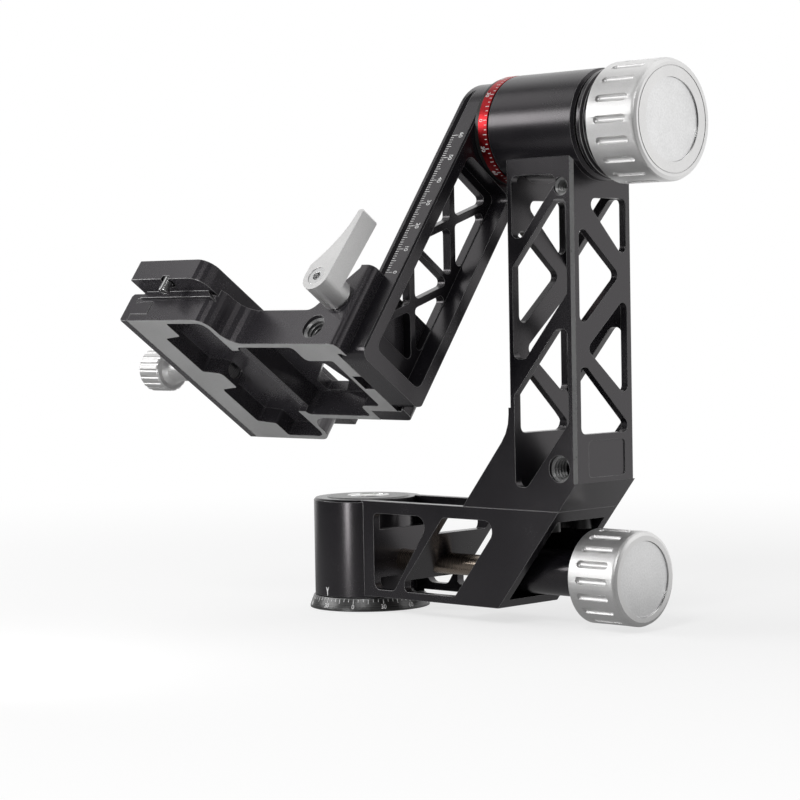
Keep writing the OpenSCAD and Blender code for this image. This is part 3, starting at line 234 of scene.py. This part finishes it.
upright = (0.0, 0.0, 1.0)
crosswise = (1.0, 0.0, 0.0)
black_turned = finish(
    "black_turned", turned,
    {"Tone": grey(0.020), "Light Tone": grey(0.034), "Centre": (0.0, 0.0, 0.0), "Axis": upright,
     "Lines": 5000.0, "Smooth": 0.26, "Rough": 0.36}, 0.15, **{"Specular IOR Level": 0.7})
dress("pan_scale_ring", fine_edge, black_turned, black_edge_highlight)

white_paint = finish(
    "white_paint", blasted,
    {"Tone": grey(0.62), "Light Tone": grey(0.8), "Grains": 3200.0, "Smooth": 0.5, "Rough": 0.65}, 0.1)
paint_proud = 0.05 * mm
paint_sunk = -0.06 * mm


def block(left, right, low, high):
    """Corners and faces of a flat painted stroke, in the frame of the surface that it lies on."""
    points = [(u, v, w) for w in (paint_sunk, paint_proud) for v in (low, high) for u in (left, right)]
    faces = [(0, 2, 3, 1), (4, 5, 7, 6), (0, 1, 5, 4), (2, 6, 7, 3), (0, 4, 6, 2), (1, 3, 7, 5)]
    return points, faces


def number(text, height, centre_u, centre_v):
    """Points and faces of a painted number about a centre."""
    curve = bpy.data.curves.new("number", "FONT")
    curve.body = text
    curve.size = height / 0.69
    curve.align_x = "CENTER"
    curve.align_y = "CENTER"
    curve.offset = 0.02 * height
    curve.extrude = (paint_proud - paint_sunk) / 2
    curve.resolution_u = 4
    thing = bpy.data.objects.new("number", curve)
    bpy.context.scene.collection.objects.link(thing)
    mesh = bpy.data.meshes.new_from_object(thing)
    lift = (paint_proud + paint_sunk) / 2
    middle_u = (min(v.co.x for v in mesh.vertices) + max(v.co.x for v in mesh.vertices)) / 2
    middle_v = (min(v.co.y for v in mesh.vertices) + max(v.co.y for v in mesh.vertices)) / 2
    points = [(v.co.x - middle_u + centre_u, v.co.y - middle_v + centre_v, v.co.z + lift)
              for v in mesh.vertices]
    faces = [tuple(p.vertices) for p in mesh.polygons]
    bpy.data.objects.remove(thing)
    bpy.data.curves.remove(curve)
    bpy.data.meshes.remove(mesh)
    return points, faces


def solid_piece(name, shapes, material, body):
    """One object from shapes, each a list of points, a list of faces and the surface they lie on."""
    mesh = bpy.data.meshes.new(name)
    made = bmesh.new()
    for points, faces, surface in shapes:
        corners = [made.verts.new(surface(*point)) for point in points]
        for face in faces:
            made.faces.new([corners[i] for i in face])
    bmesh.ops.remove_doubles(made, verts=made.verts, dist=0.0005 * mm)
    bmesh.ops.recalc_face_normals(made, faces=made.faces)
    made.to_mesh(mesh)
    made.free()
    mesh.materials.append(material)
    piece = bpy.data.objects.new(name, mesh)
    bpy.context.scene.collection.objects.link(piece)
    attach(piece, body)
    return piece


ring_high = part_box("pan_scale_ring")[1]
ring_foot_r = ring_high.x
ring_rim_h = 0.8 * mm
ring_top_r = 21.5 * mm
cone_slope = (ring_foot_r - ring_top_r) / (ring_high.z - ring_rim_h)
cone_lean = 1 / math.hypot(1, cone_slope)
pan_zero = math.radians(-62)


def on_pan_ring(u, v, w):
    """A point on the conical face: u along the rim from the zero mark, v up, w proud."""
    angle = pan_zero + u / ring_foot_r
    radius = ring_foot_r - cone_slope * (v - ring_rim_h) + w * cone_lean
    return Vector((radius * math.cos(angle), radius * math.sin(angle), v + w * cone_lean * cone_slope))


tick_half = 0.13 * mm
digit_h = 1.55 * mm
tick_top = ring_high.z - 0.25 * mm
long_tick = 1.7 * mm
short_tick = 1.05 * mm
digit_v = 1.85 * mm
shapes = []
for degrees in range(-180, 180, 5):
    u = math.radians(degrees) * ring_foot_r
    length = long_tick if degrees % 15 == 0 else short_tick
    shapes.append((*block(u - tick_half, u + tick_half, tick_top - length, tick_top), on_pan_ring))
    if degrees % 30 == 0:
        shapes.append((*number(str(abs(degrees)), digit_h, u, digit_v), on_pan_ring))
solid_piece("pan_scale_marks", shapes, white_paint, "base")

# Tripod bush
# A steel bush pressed into the base, with the 3/8 inch thread that holds the head on its support.
# The thread is cut with a tap, one ridge wound along the wall of the bore.
steel_turned = finish(
    "steel_turned", turned,
    {"Tone": grey(0.42), "Light Tone": grey(0.6, 0.01), "Centre": (0.0, 0.0, 0.0), "Axis": upright,
     "Lines": 4000.0, "Smooth": 0.22, "Rough": 0.36}, 0.2, Metallic=1.0)
dress("tripod_bush", fine_edge, steel_turned)
mounts = {mount["name"]: mount for mount in frame["record"]["mounts"]}
inch = 25.4 * mm


def thread(name, mount, threads_per_inch, material, body):
    """The thread in the hole of a mount, from just inside its mouth to just short of its end."""
    pitch = inch / threads_per_inch
    inward = -Vector(mounts[mount]["axis"])
    mouth = Vector(mounts[mount]["pos_m"])
    wall = mounts[mount]["dims"]["r_mm"] * mm
    length = mounts[mount]["dims"]["length_mm"] * mm - 1.2 * pitch
    side = inward.orthogonal().normalized()
    other = inward.cross(side)
    profile = ((-0.44, 0.04 * mm), (-0.08, -0.58 * pitch), (0.08, -0.58 * pitch), (0.44, 0.04 * mm))
    steps = 30
    points = []
    for step in range(int(length / pitch * steps) + 1):
        angle = 2 * math.pi * step / steps
        depth = pitch * (0.6 + step / steps)
        for share, height in profile:
            points.append((depth + share * pitch, angle, wall + height))
    last = len(points) - 4
    faces = [(3, 2, 1, 0), (last, last + 1, last + 2, last + 3)]
    for start in range(0, last, 4):
        for k in range(4):
            after = (k + 1) % 4
            faces.append((start + k, start + after, start + 4 + after, start + 4 + k))

    def in_hole(depth, angle, radius):
        return mouth + inward * depth + (side * math.cos(angle) + other * math.sin(angle)) * radius

    piece = solid_piece(name, [(points, faces, in_hole)], material, body)
    for polygon in piece.data.polygons:
        polygon.use_smooth = True
    piece.data.set_sharp_from_angle(angle=math.radians(35))


thread("tripod_thread_ridge", "tripod_thread", 16, steel_turned, "base")

# Spindle washer and nut
# A plain bearing washer lies on the upper bearing, and a steel nut on the spindle closes the stack.
washer_plastic = finish(
    "washer_plastic", blasted,
    {"Tone": (0.60, 0.57, 0.50, 1), "Light Tone": (0.70, 0.68, 0.60, 1), "Grains": 900.0,
     "Smooth": 0.42, "Rough": 0.55}, 0.1)
dress("spindle_washer", fine_edge, washer_plastic)
dress("spindle_nut", fine_edge, steel_turned)

# Lower arm
# The hub and the open arm are milled from one block of aluminium, blasted and anodised black.
# Windows lighten the arm, and the boss at its far end takes the lock knob. A white pointer is
# printed on the wall of the hub.
dress("lower_arm", clear_edge, black_blasted, black_edge_highlight)
dress("pan_bearings", fine_edge, steel_turned)

hub_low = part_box("lower_arm")[0]
hub_r = -hub_low.x
pointer_angle = math.radians(-95.3)


def on_hub(u, v, w):
    """A point on the wall of the hub: u to the right of the pointer, v above the hub's foot, w proud."""
    angle = pointer_angle + u / hub_r
    return Vector(((hub_r + w) * math.cos(angle), (hub_r + w) * math.sin(angle), hub_low.z + v))


pointer_h = 3.5 * mm
pointer_w = 0.9 * mm
pointer = [(-pointer_w, pointer_h), (-0.6 * pointer_w, pointer_h), (0, 0.78 * pointer_h),
           (0.6 * pointer_w, pointer_h), (pointer_w, pointer_h), (0.3 * pointer_w, 0.55 * pointer_h),
           (0.2 * pointer_w, 0.04 * pointer_h), (-0.2 * pointer_w, 0.04 * pointer_h),
           (-0.3 * pointer_w, 0.55 * pointer_h)]
count = len(pointer)
points = [(u, v, w) for w in (paint_sunk, paint_proud) for u, v in pointer]
faces = [tuple(range(count)), tuple(range(2 * count - 1, count - 1, -1))]
faces += [(i, i + count, (i + 1) % count + count, (i + 1) % count) for i in range(count)]
solid_piece("pan_pointer", [(points, faces, on_hub)], white_paint, "pan_body")

# Hub cap and level
# A turned disc closes the hub, with a round bubble level let into its middle. The level is a
# cup of silver alloy with a liquid-filled glass, a printed ring and a bubble under the glass.
cap_turned = finish(
    "cap_turned", turned,
    {"Tone": grey(0.10), "Light Tone": grey(0.16), "Centre": (0.0, 0.0, 0.0), "Axis": upright,
     "Lines": 3500.0, "Smooth": 0.28, "Rough": 0.42}, 0.25, Metallic=0.7)
dress("hub_cap", fine_edge, cap_turned, black_edge_highlight)
silver_blasted = finish(
    "silver_blasted", blasted,
    {"Tone": grey(0.72, 0.005), "Light Tone": grey(0.88, 0.005), "Grains": 3000.0,
     "Smooth": 0.48, "Rough": 0.58}, 0.35, Metallic=1.0)
silver_edge = finish(
    "silver_edge", blasted,
    {"Tone": grey(0.82), "Light Tone": grey(0.92), "Grains": 1500.0,
     "Smooth": 0.16, "Rough": 0.26}, 0.1, Metallic=1.0)
dress("level_bezel", fine_edge, silver_blasted, silver_edge)
vial_liquid = finish(
    "vial_liquid", blasted,
    {"Tone": (0.62, 0.70, 0.42, 1), "Light Tone": (0.72, 0.78, 0.55, 1), "Grains": 120.0,
     "Smooth": 0.03, "Rough": 0.06}, 0.0, **{"Coat Weight": 1.0, "Coat Roughness": 0.02})
dress("level_vial", fine_edge, vial_liquid)
vial_low, vial_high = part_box("level_vial")
vial_r = (vial_high.x - vial_low.x) / 2


def disc_ring(inner, outer, steps=64):
    """Points and faces of a thin flat ring."""
    proud = 0.02 * mm
    points = []
    for r, w in ((inner, paint_sunk), (outer, paint_sunk), (outer, proud), (inner, proud)):
        points += [(2 * math.pi * i / steps, r, w) for i in range(steps)]
    faces = []
    for band in range(4):
        low = band * steps
        high = (band + 1) % 4 * steps
        faces += [(low + i, low + (i + 1) % steps, high + (i + 1) % steps, high + i) for i in range(steps)]
    return points, faces


def on_vial(angle, radius, w):
    """A point on the flat top of the glass."""
    return Vector((radius * math.cos(angle), radius * math.sin(angle), vial_high.z + w))


black_ink = finish(
    "black_ink", blasted,
    {"Tone": grey(0.01), "Light Tone": grey(0.02), "Grains": 2000.0, "Smooth": 0.3, "Rough": 0.4}, 0.05)
ring_ink_r = 0.42 * vial_r
ring_ink = disc_ring(ring_ink_r, ring_ink_r + 0.3 * mm)
solid_piece("level_ring", [(*ring_ink, on_vial)], black_ink, "pan_body")
bubble_light = finish(
    "bubble_light", blasted,
    {"Tone": (0.80, 0.86, 0.62, 1), "Light Tone": (0.90, 0.93, 0.75, 1), "Grains": 200.0,
     "Smooth": 0.04, "Rough": 0.08}, 0.0, **{"Coat Weight": 1.0, "Coat Roughness": 0.02})
bubble = disc_ring(0.02 * vial_r, 0.36 * vial_r)
solid_piece("level_bubble", [(*bubble, on_vial)], bubble_light, "pan_body")

# Pan lock
# A steel rod runs through the lower arm and pushes a friction pad against the spindle. The knob is
# turned from aluminium with milled flutes, blasted, and left silver; its face disc is pressed in.
dress("knob_bush", fine_edge, steel_turned)
lock_joint = next(joint for joint in frame["joints"] if joint["name"] == "pan_knob_turn")
rod_steel = finish(
    "rod_steel", turned,
    {"Tone": (0.26, 0.21, 0.17, 1), "Light Tone": (0.38, 0.32, 0.27, 1), "Centre": lock_joint["pos_m"],
     "Axis": crosswise, "Lines": 3500.0, "Smooth": 0.20, "Rough": 0.32}, 0.2, Metallic=1.0)
dress("lock_rod", fine_edge, rod_steel)
friction_pad = finish(
    "friction_pad", blasted,
    {"Tone": (0.10, 0.065, 0.04, 1), "Light Tone": (0.22, 0.15, 0.09, 1), "Grains": 1500.0,
     "Smooth": 0.65, "Rough": 0.85}, 0.5)
dress("brake_pad", fine_edge, friction_pad)
dress("pan_knob_stem", fine_edge, steel_turned)
# The silver knob finish has painted shade in its flutes and gaps
silver_knob = finish(
    "silver_knob", blasted,
    {"Tone": grey(0.72, 0.005), "Light Tone": grey(0.88, 0.005), "Grains": 3000.0,
     "Smooth": 0.44, "Rough": 0.56}, 0.35, grooves=1.6 * mm, Metallic=1.0)
silver_disc = finish(
    "silver_disc", blasted,
    {"Tone": grey(0.70), "Light Tone": grey(0.93), "Grains": 1700.0,
     "Smooth": 0.38, "Rough": 0.55}, 0.6, Metallic=1.0)
# The round walls inside each knob are cut clean and stay bright
clean_share = 0.4
for knob, disc in (("pan_knob", "pan_knob_cap"), ("tilt_knob", "tilt_knob_cap")):
    dress(knob, fine_edge, silver_knob, silver_edge)
    dress(disc, fine_edge, silver_disc, silver_edge)
    low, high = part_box(knob)
    for face in frame["nodes"][knob].data.polygons:
        off_axis = face.center - (low + high) / 2
        inside = math.hypot(off_axis.y, off_axis.z) < clean_share * (high.z - low.z)
        if inside and abs(face.normal.x) < 0.5:
            face.material_index = 1

# Column
# The upright column is milled from a square block of aluminium into a hollow post with zigzag
# windows on all four sides. Two tapped holes take accessories, and a shallow recess at its foot is
# bare. The long bevels of the post carry a painted highlight in the lighter edge finish.
dress("column", clear_edge, black_blasted, black_edge_highlight)
tilt_hub_h = 46 * mm
post_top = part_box("column")[1].z - tilt_hub_h
# Painted highlight: the long bevels of the post take the lighter edge finish
for face in frame["nodes"]["column"].data.polygons:
    if abs(face.normal.x) > 0.6 and abs(face.normal.y) > 0.6 and face.center.z < post_top:
        face.material_index = 1
black_oxide = finish(
    "black_oxide", blasted,
    {"Tone": grey(0.02), "Light Tone": grey(0.035), "Grains": 1600.0,
     "Smooth": 0.3, "Rough": 0.42}, 0.15, Metallic=0.4)
dress("column_screws", fine_edge, black_oxide)
# The thread ridges take the lighter edge finish, a painted highlight standing in for glints
thread("column_thread_low_ridge", "column_thread_low", 16, black_edge_highlight, "pan_body")
thread("column_thread_high_ridge", "column_thread_high", 20, black_edge_highlight, "pan_body")

# Tilt axle
# A steel axle runs on two bearings in the head of the column, with a spacer tube between them.
# It is bolted to the swing arm, and plastic washers keep the turning faces apart.
for node in ("tilt_bearings", "bearing_spacer", "tilt_knob_insert"):
    dress(node, fine_edge, steel_turned)
for node in ("tilt_axle", "axle_screws"):
    dress(node, fine_edge, black_oxide)
for node in ("thrust_washer", "friction_washer"):
    dress(node, fine_edge, washer_plastic)
dress("pressure_ring", fine_edge, black_blasted, black_edge_highlight)

# Tilt scale ring
# A red anodised ring, turned and screwed to the swing arm, with degrees printed in white.
# Its lines start at the edge next to the column, and the numbers stand towards the arm.
tilt_joint = next(joint for joint in frame["joints"] if joint["name"] == "tilt")
tilt_centre = Vector(tilt_joint["pos_m"])
red_anodised = finish(
    "red_anodised", turned,
    {"Tone": (0.34, 0.012, 0.016, 1), "Light Tone": (0.48, 0.024, 0.030, 1), "Centre": tilt_centre,
     "Axis": crosswise, "Lines": 4000.0, "Smooth": 0.28, "Rough": 0.38}, 0.15, Metallic=0.95)
dress("tilt_scale_ring", fine_edge, red_anodised)
red_low, red_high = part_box("tilt_scale_ring")
red_r = (red_high.y - red_low.y) / 2
tilt_zero = math.radians(9)


def on_tilt_ring(u, v, w):
    """A point on the ring: u down along the rim from the zero mark, v from the arm side, w proud."""
    angle = tilt_zero - u / red_r
    radius = red_r + w
    return Vector((red_low.x + v, -radius * math.cos(angle), tilt_centre.z + radius * math.sin(angle)))


tick_top = red_high.x - red_low.x - 0.3 * mm
long_tick = 1.6 * mm
short_tick = 1.0 * mm
digit_v = 1.3 * mm
shapes = []
for degrees in range(-180, 180, 5):
    u = math.radians(degrees) * red_r
    length = long_tick if degrees % 15 == 0 else short_tick
    shapes.append((*block(u - tick_half, u + tick_half, tick_top - length, tick_top), on_tilt_ring))
    if degrees % 30 == 0:
        shapes.append((*number(str(abs(degrees)), digit_h, u, digit_v), on_tilt_ring))
solid_piece("tilt_scale_marks", shapes, white_paint, "swing")

# Swing arm
# The arm hangs from the axle. It is milled from aluminium plate with a truss of windows, and its two
# long edges are dovetail rails for the platform. A millimetre scale is printed along one edge.
dress("swing_arm", clear_edge, black_blasted, black_edge_highlight)
dress("rail_stop_screw", fine_edge, steel_turned)
arm_up = Vector(next(joint for joint in frame["joints"] if joint["name"] == "platform_slide")["axis"])
arm_across = Vector(next(joint for joint in frame["joints"] if joint["name"] == "plate_slide")["axis"])
arm_half_w = 17.75 * mm
groove_x = 68.6 * mm
scale_foot = -75 * mm


def on_rail(u, v, w):
    """A point on the edge of the arm: u down the arm from the zero line, v from the groove, w proud."""
    across = -(arm_half_w + w)
    return Vector((groove_x + v, 0, tilt_centre.z)) + arm_across * across + arm_up * (scale_foot - u)


rail_tick_half = 0.11 * mm
rail_tick_start = 0.15 * mm
rail_digit_h = 1.7 * mm
rail_digit_v = 4.6 * mm
shapes = []
for step in range(0, 61):
    u = -step * mm
    length = (3.2 if step % 10 == 0 else 2.4 if step % 5 == 0 else 1.6) * mm
    shapes.append((*block(u - rail_tick_half, u + rail_tick_half, rail_tick_start, length), on_rail))
    if step % 10 == 0:
        shapes.append((*number(str(step), rail_digit_h, u, rail_digit_v), on_rail))
solid_piece("rail_scale_marks", shapes, white_paint, "swing")

# Lens platform
# The platform is milled from one block: a clamp for the lens plate, a neck, and a cheek that slides
# on the rail of the swing arm. A silver lever draws the rail jaw tight through a steel stud.
# Painted reflection: the bracket's flat underside is a much lighter grey, standing in for the light of the floor
# reflected there
painted_underside_reflection = finish(
    "painted_underside_reflection", blasted,
    {"Tone": grey(0.26), "Light Tone": grey(0.34), "Grains": 1800.0, "Smooth": 0.28, "Rough": 0.38}, 0.15)
# Painted light: the platform's black is a lighter copy of the black finish, standing in for the light on its
# faces, with a painted highlight on its outer edges
black_platform_painted_light = finish(
    "black_platform_painted_light", blasted,
    {"Tone": (0.024, 0.0225, 0.026, 1), "Light Tone": (0.028, 0.0263, 0.030, 1), "Grains": 2600.0,
     "Smooth": 0.24, "Rough": 0.30}, 0.05, edge={"Edge Tone": grey(0.20), "Width": 0.4 * mm},
    **{"Specular IOR Level": 0.75, "Specular Tint": (1.0, 0.95, 0.98, 1.0)})
dress("bracket", clear_edge, black_platform_painted_light, painted_underside_reflection, black_edge_highlight)
# The flat underside takes the painted reflection
underside = min(corner.co.dot(arm_up) for corner in frame["nodes"]["bracket"].data.vertices)
for face in frame["nodes"]["bracket"].data.polygons:
    if face.normal.dot(arm_up) < -0.99 and face.center.dot(arm_up) < underside + 0.1 * mm:
        face.material_index = 1
# The thread ridge takes the lighter edge finish, a painted highlight standing in for glints
thread("platform_thread_ridge", "platform_thread", 16, black_edge_highlight, "platform")
dress("rail_jaw", fine_edge, black_blasted, black_edge_highlight)
dress("lever_washer", fine_edge, steel_turned)
dress("clamp_stud", fine_edge, steel_turned)
dress("clamp_lever", clear_edge, silver_blasted, silver_edge)
steel_bright = finish(
    "steel_bright", blasted,
    {"Tone": grey(0.55), "Light Tone": grey(0.7), "Grains": 1200.0,
     "Smooth": 0.2, "Rough": 0.32}, 0.1, Metallic=1.0)
dress("lever_screw", fine_edge, steel_bright, silver_edge)

# Quick-release clamp and lens plate
# A moving jaw, drawn by a knurled silver knob on a steel screw, grips the dovetail of the lens plate.
# The plate is milled and blasted black, with a slot for two camera screws and a stop screw at each end.
# The jaw and the plate take the lighter platform black, painted light
dress("plate_jaw", clear_edge, black_platform_painted_light, black_edge_highlight)
dress("plate_screw", fine_edge, steel_turned)
dress("plate_knob", fine_edge, silver_knob, silver_edge)
dress("lens_plate", clear_edge, black_platform_painted_light, black_edge_highlight)
dress("plate_stop_screws", fine_edge, steel_bright, silver_edge)
dress("camera_screws", fine_edge, steel_bright, silver_edge)

# Studio
# A plain pale floor and a white surround. The camera finds both white, metal finds them white behind
# the head and darker towards the camera, as in a studio, and the floor keeps the shadow of the head.
camera_azimuth = math.radians(44.186)
camera_drop = math.radians(2.339)
camera_roll = math.radians(-1.012)
camera_place = Vector((689.676, -691.124, 118.615)) * mm
focal_px = 2541.96
picture_px = 800
forward = Vector((-math.sin(camera_azimuth) * math.cos(camera_drop),
                  math.cos(camera_azimuth) * math.cos(camera_drop), -math.sin(camera_drop)))
level_right = Vector((math.cos(camera_azimuth), math.sin(camera_azimuth), 0))
level_up = level_right.cross(forward)
right = math.cos(camera_roll) * level_right + math.sin(camera_roll) * level_up
up = math.cos(camera_roll) * level_up - math.sin(camera_roll) * level_right
camera = bpy.data.cameras.new("camera")
camera.sensor_width = 36.0
camera.lens = camera.sensor_width * focal_px / picture_px
camera_object = bpy.data.objects.new("camera", camera)
bpy.context.scene.collection.objects.link(camera_object)
turn = Matrix((right, up, -forward)).transposed()
camera_object.matrix_world = Matrix.Translation(camera_place) @ turn.to_4x4()
bpy.context.scene.camera = camera_object

# The room is bright behind the head and to its right, and darker to the left and behind the camera
bright_side = (Vector((forward.x, forward.y, 0)).normalized() + 0.9 * level_right)
room, takes, gives = effect("room_brightness", [("Way", "Vector")], [("Brightness", "Float")])
side = add(room, "VectorMath", {0: takes["Way"], 1: bright_side}, operation="DOT_PRODUCT").outputs["Value"]
tone = add(room, "MapRange", {0: side, 1: -0.1, 2: 0.6, 3: 0.075, 4: 1.0}).outputs[0]
give(room, gives, Brightness=tone)

white_floor = bpy.data.materials.new("white_floor")
white_floor.use_nodes = True
tree = white_floor.node_tree
tree.nodes.clear()
rays = add(tree, "LightPath").outputs
place = add(tree, "TexCoord").outputs["Object"]
reach = add(tree, "VectorMath", {0: place, "Scale": 2.5}, operation="SCALE").outputs[0]
beyond = add(tree, "Group", {"Way": reach}, node_tree=room).outputs["Brightness"]
away = add(tree, "VectorMath", {0: place}, operation="LENGTH").outputs["Value"]
near = add(tree, "MapRange", {0: away, 1: 0.25, 2: 0.6, 3: 0.28, 4: 0.0}).outputs[0]
mirrored = add(tree, "Math", {0: beyond, 1: near}, operation="MAXIMUM").outputs[0]
shadow_share = add(tree, "MapRange", {0: away, 1: 0.12, 2: 0.6, 3: 0.32, 4: 0.0},
                   interpolation_type="SMOOTHSTEP").outputs[0]
plain_share = add(tree, "Math", {0: 1.0, 1: shadow_share}, operation="SUBTRACT").outputs[0]
seen = add(tree, "Math", {0: rays["Is Camera Ray"], 1: rays["Is Transmission Ray"]},
           operation="MAXIMUM").outputs[0]
glow_mirrored = add(tree, "Math", {0: rays["Is Glossy Ray"], 1: mirrored}, operation="MULTIPLY").outputs[0]
glow_seen = add(tree, "Math", {0: seen, 1: plain_share}, operation="MULTIPLY").outputs[0]
glow_strength = add(tree, "Math", {0: glow_seen, 1: glow_mirrored}, operation="ADD").outputs[0]
glow = add(tree, "Emission", {"Color": grey(1.0), "Strength": glow_strength}).outputs[0]
lit_seen = add(tree, "Math", {0: seen, 1: shadow_share}, operation="MULTIPLY").outputs[0]
lit_plain = add(tree, "Math", {0: rays["Is Diffuse Ray"], 1: 0.75}, operation="MULTIPLY").outputs[0]
pale = add(tree, "Math", {0: lit_seen, 1: 1.15, 2: lit_plain}, operation="MULTIPLY_ADD").outputs[0]
matt = add(tree, "BsdfDiffuse", {"Color": pale}).outputs[0]
total = add(tree, "AddShader", {0: glow, 1: matt}).outputs[0]
add(tree, "OutputMaterial", {"Surface": total})
floor_half = 6.0
floor_mesh = bpy.data.meshes.new("floor")
corners = [(-floor_half, -floor_half), (floor_half, -floor_half),
           (floor_half, floor_half), (-floor_half, floor_half)]
floor_mesh.from_pydata([(x, y, cad_box[0].z - 0.2 * mm) for x, y in corners], [], [(0, 1, 2, 3)])
floor_mesh.materials.append(white_floor)
floor = bpy.data.objects.new("floor", floor_mesh)
bpy.context.scene.collection.objects.link(floor)

world = bpy.data.worlds.new("studio")
bpy.context.scene.world = world
world.use_nodes = True
tree = world.node_tree
tree.nodes.clear()
rays = add(tree, "LightPath").outputs
direction = add(tree, "TexCoord").outputs["Generated"]
level = add(tree, "VectorMath", {0: direction, 1: (1.0, 1.0, 0.0)}, operation="MULTIPLY").outputs[0]
level = add(tree, "VectorMath", {0: level}, operation="NORMALIZE").outputs[0]
mirrored = add(tree, "Group", {"Way": level}, node_tree=room).outputs["Brightness"]
seen = add(tree, "Math", {0: rays["Is Camera Ray"], 1: rays["Is Transmission Ray"]},
           operation="MAXIMUM").outputs[0]
fill = add(tree, "Mix", {0: rays["Is Glossy Ray"], 6: grey(0.30), 7: mirrored}, data_type="RGBA").outputs[2]
shown = add(tree, "Mix", {0: seen, 6: fill, 7: grey(1.0)}, data_type="RGBA").outputs[2]
backdrop = add(tree, "Background", {"Color": shown, "Strength": 1.0}).outputs[0]
add(tree, "OutputWorld", {"Surface": backdrop})

head_middle = (cad_box[0] + cad_box[1]) / 2
hub_middle = Vector((0, 0, 0.03))


def softbox(name, target, left, elevation, distance, width, height, power):
    """A lamp that faces a target, so many degrees to the left of the camera."""
    lamp = bpy.data.lights.new(name, "AREA")
    lamp.shape = "RECTANGLE"
    lamp.size = width
    lamp.size_y = height
    lamp.energy = power
    angle = math.radians(-90 - left) + camera_azimuth
    rise = math.radians(elevation)
    away = Vector((math.cos(angle) * math.cos(rise), math.sin(angle) * math.cos(rise), math.sin(rise)))
    box = bpy.data.objects.new(name, lamp)
    bpy.context.scene.collection.objects.link(box)
    box.location = target + away * distance
    box.rotation_euler = away.to_track_quat("Z", "Y").to_euler()
    box.visible_camera = False


softbox("left_softbox", head_middle, left=97, elevation=20, distance=1.1, width=0.80, height=0.32, power=4.5)
softbox("high_softbox", head_middle, left=108, elevation=46, distance=1.1, width=0.50, height=0.36, power=0.6)
softbox("front_strip", hub_middle, left=43, elevation=0, distance=0.25, width=0.03, height=0.10, power=0.13)
softbox("front_light", head_middle, left=20, elevation=38, distance=1.0, width=0.30, height=0.30, power=2.4)
softbox("top_light", head_middle, left=150, elevation=75, distance=1.3, width=0.8, height=0.8, power=1.2)
softbox("right_light", head_middle, left=-75, elevation=30, distance=1.5, width=0.5, height=0.8, power=1.2)

bpy.context.scene.view_settings.view_transform = "Standard"
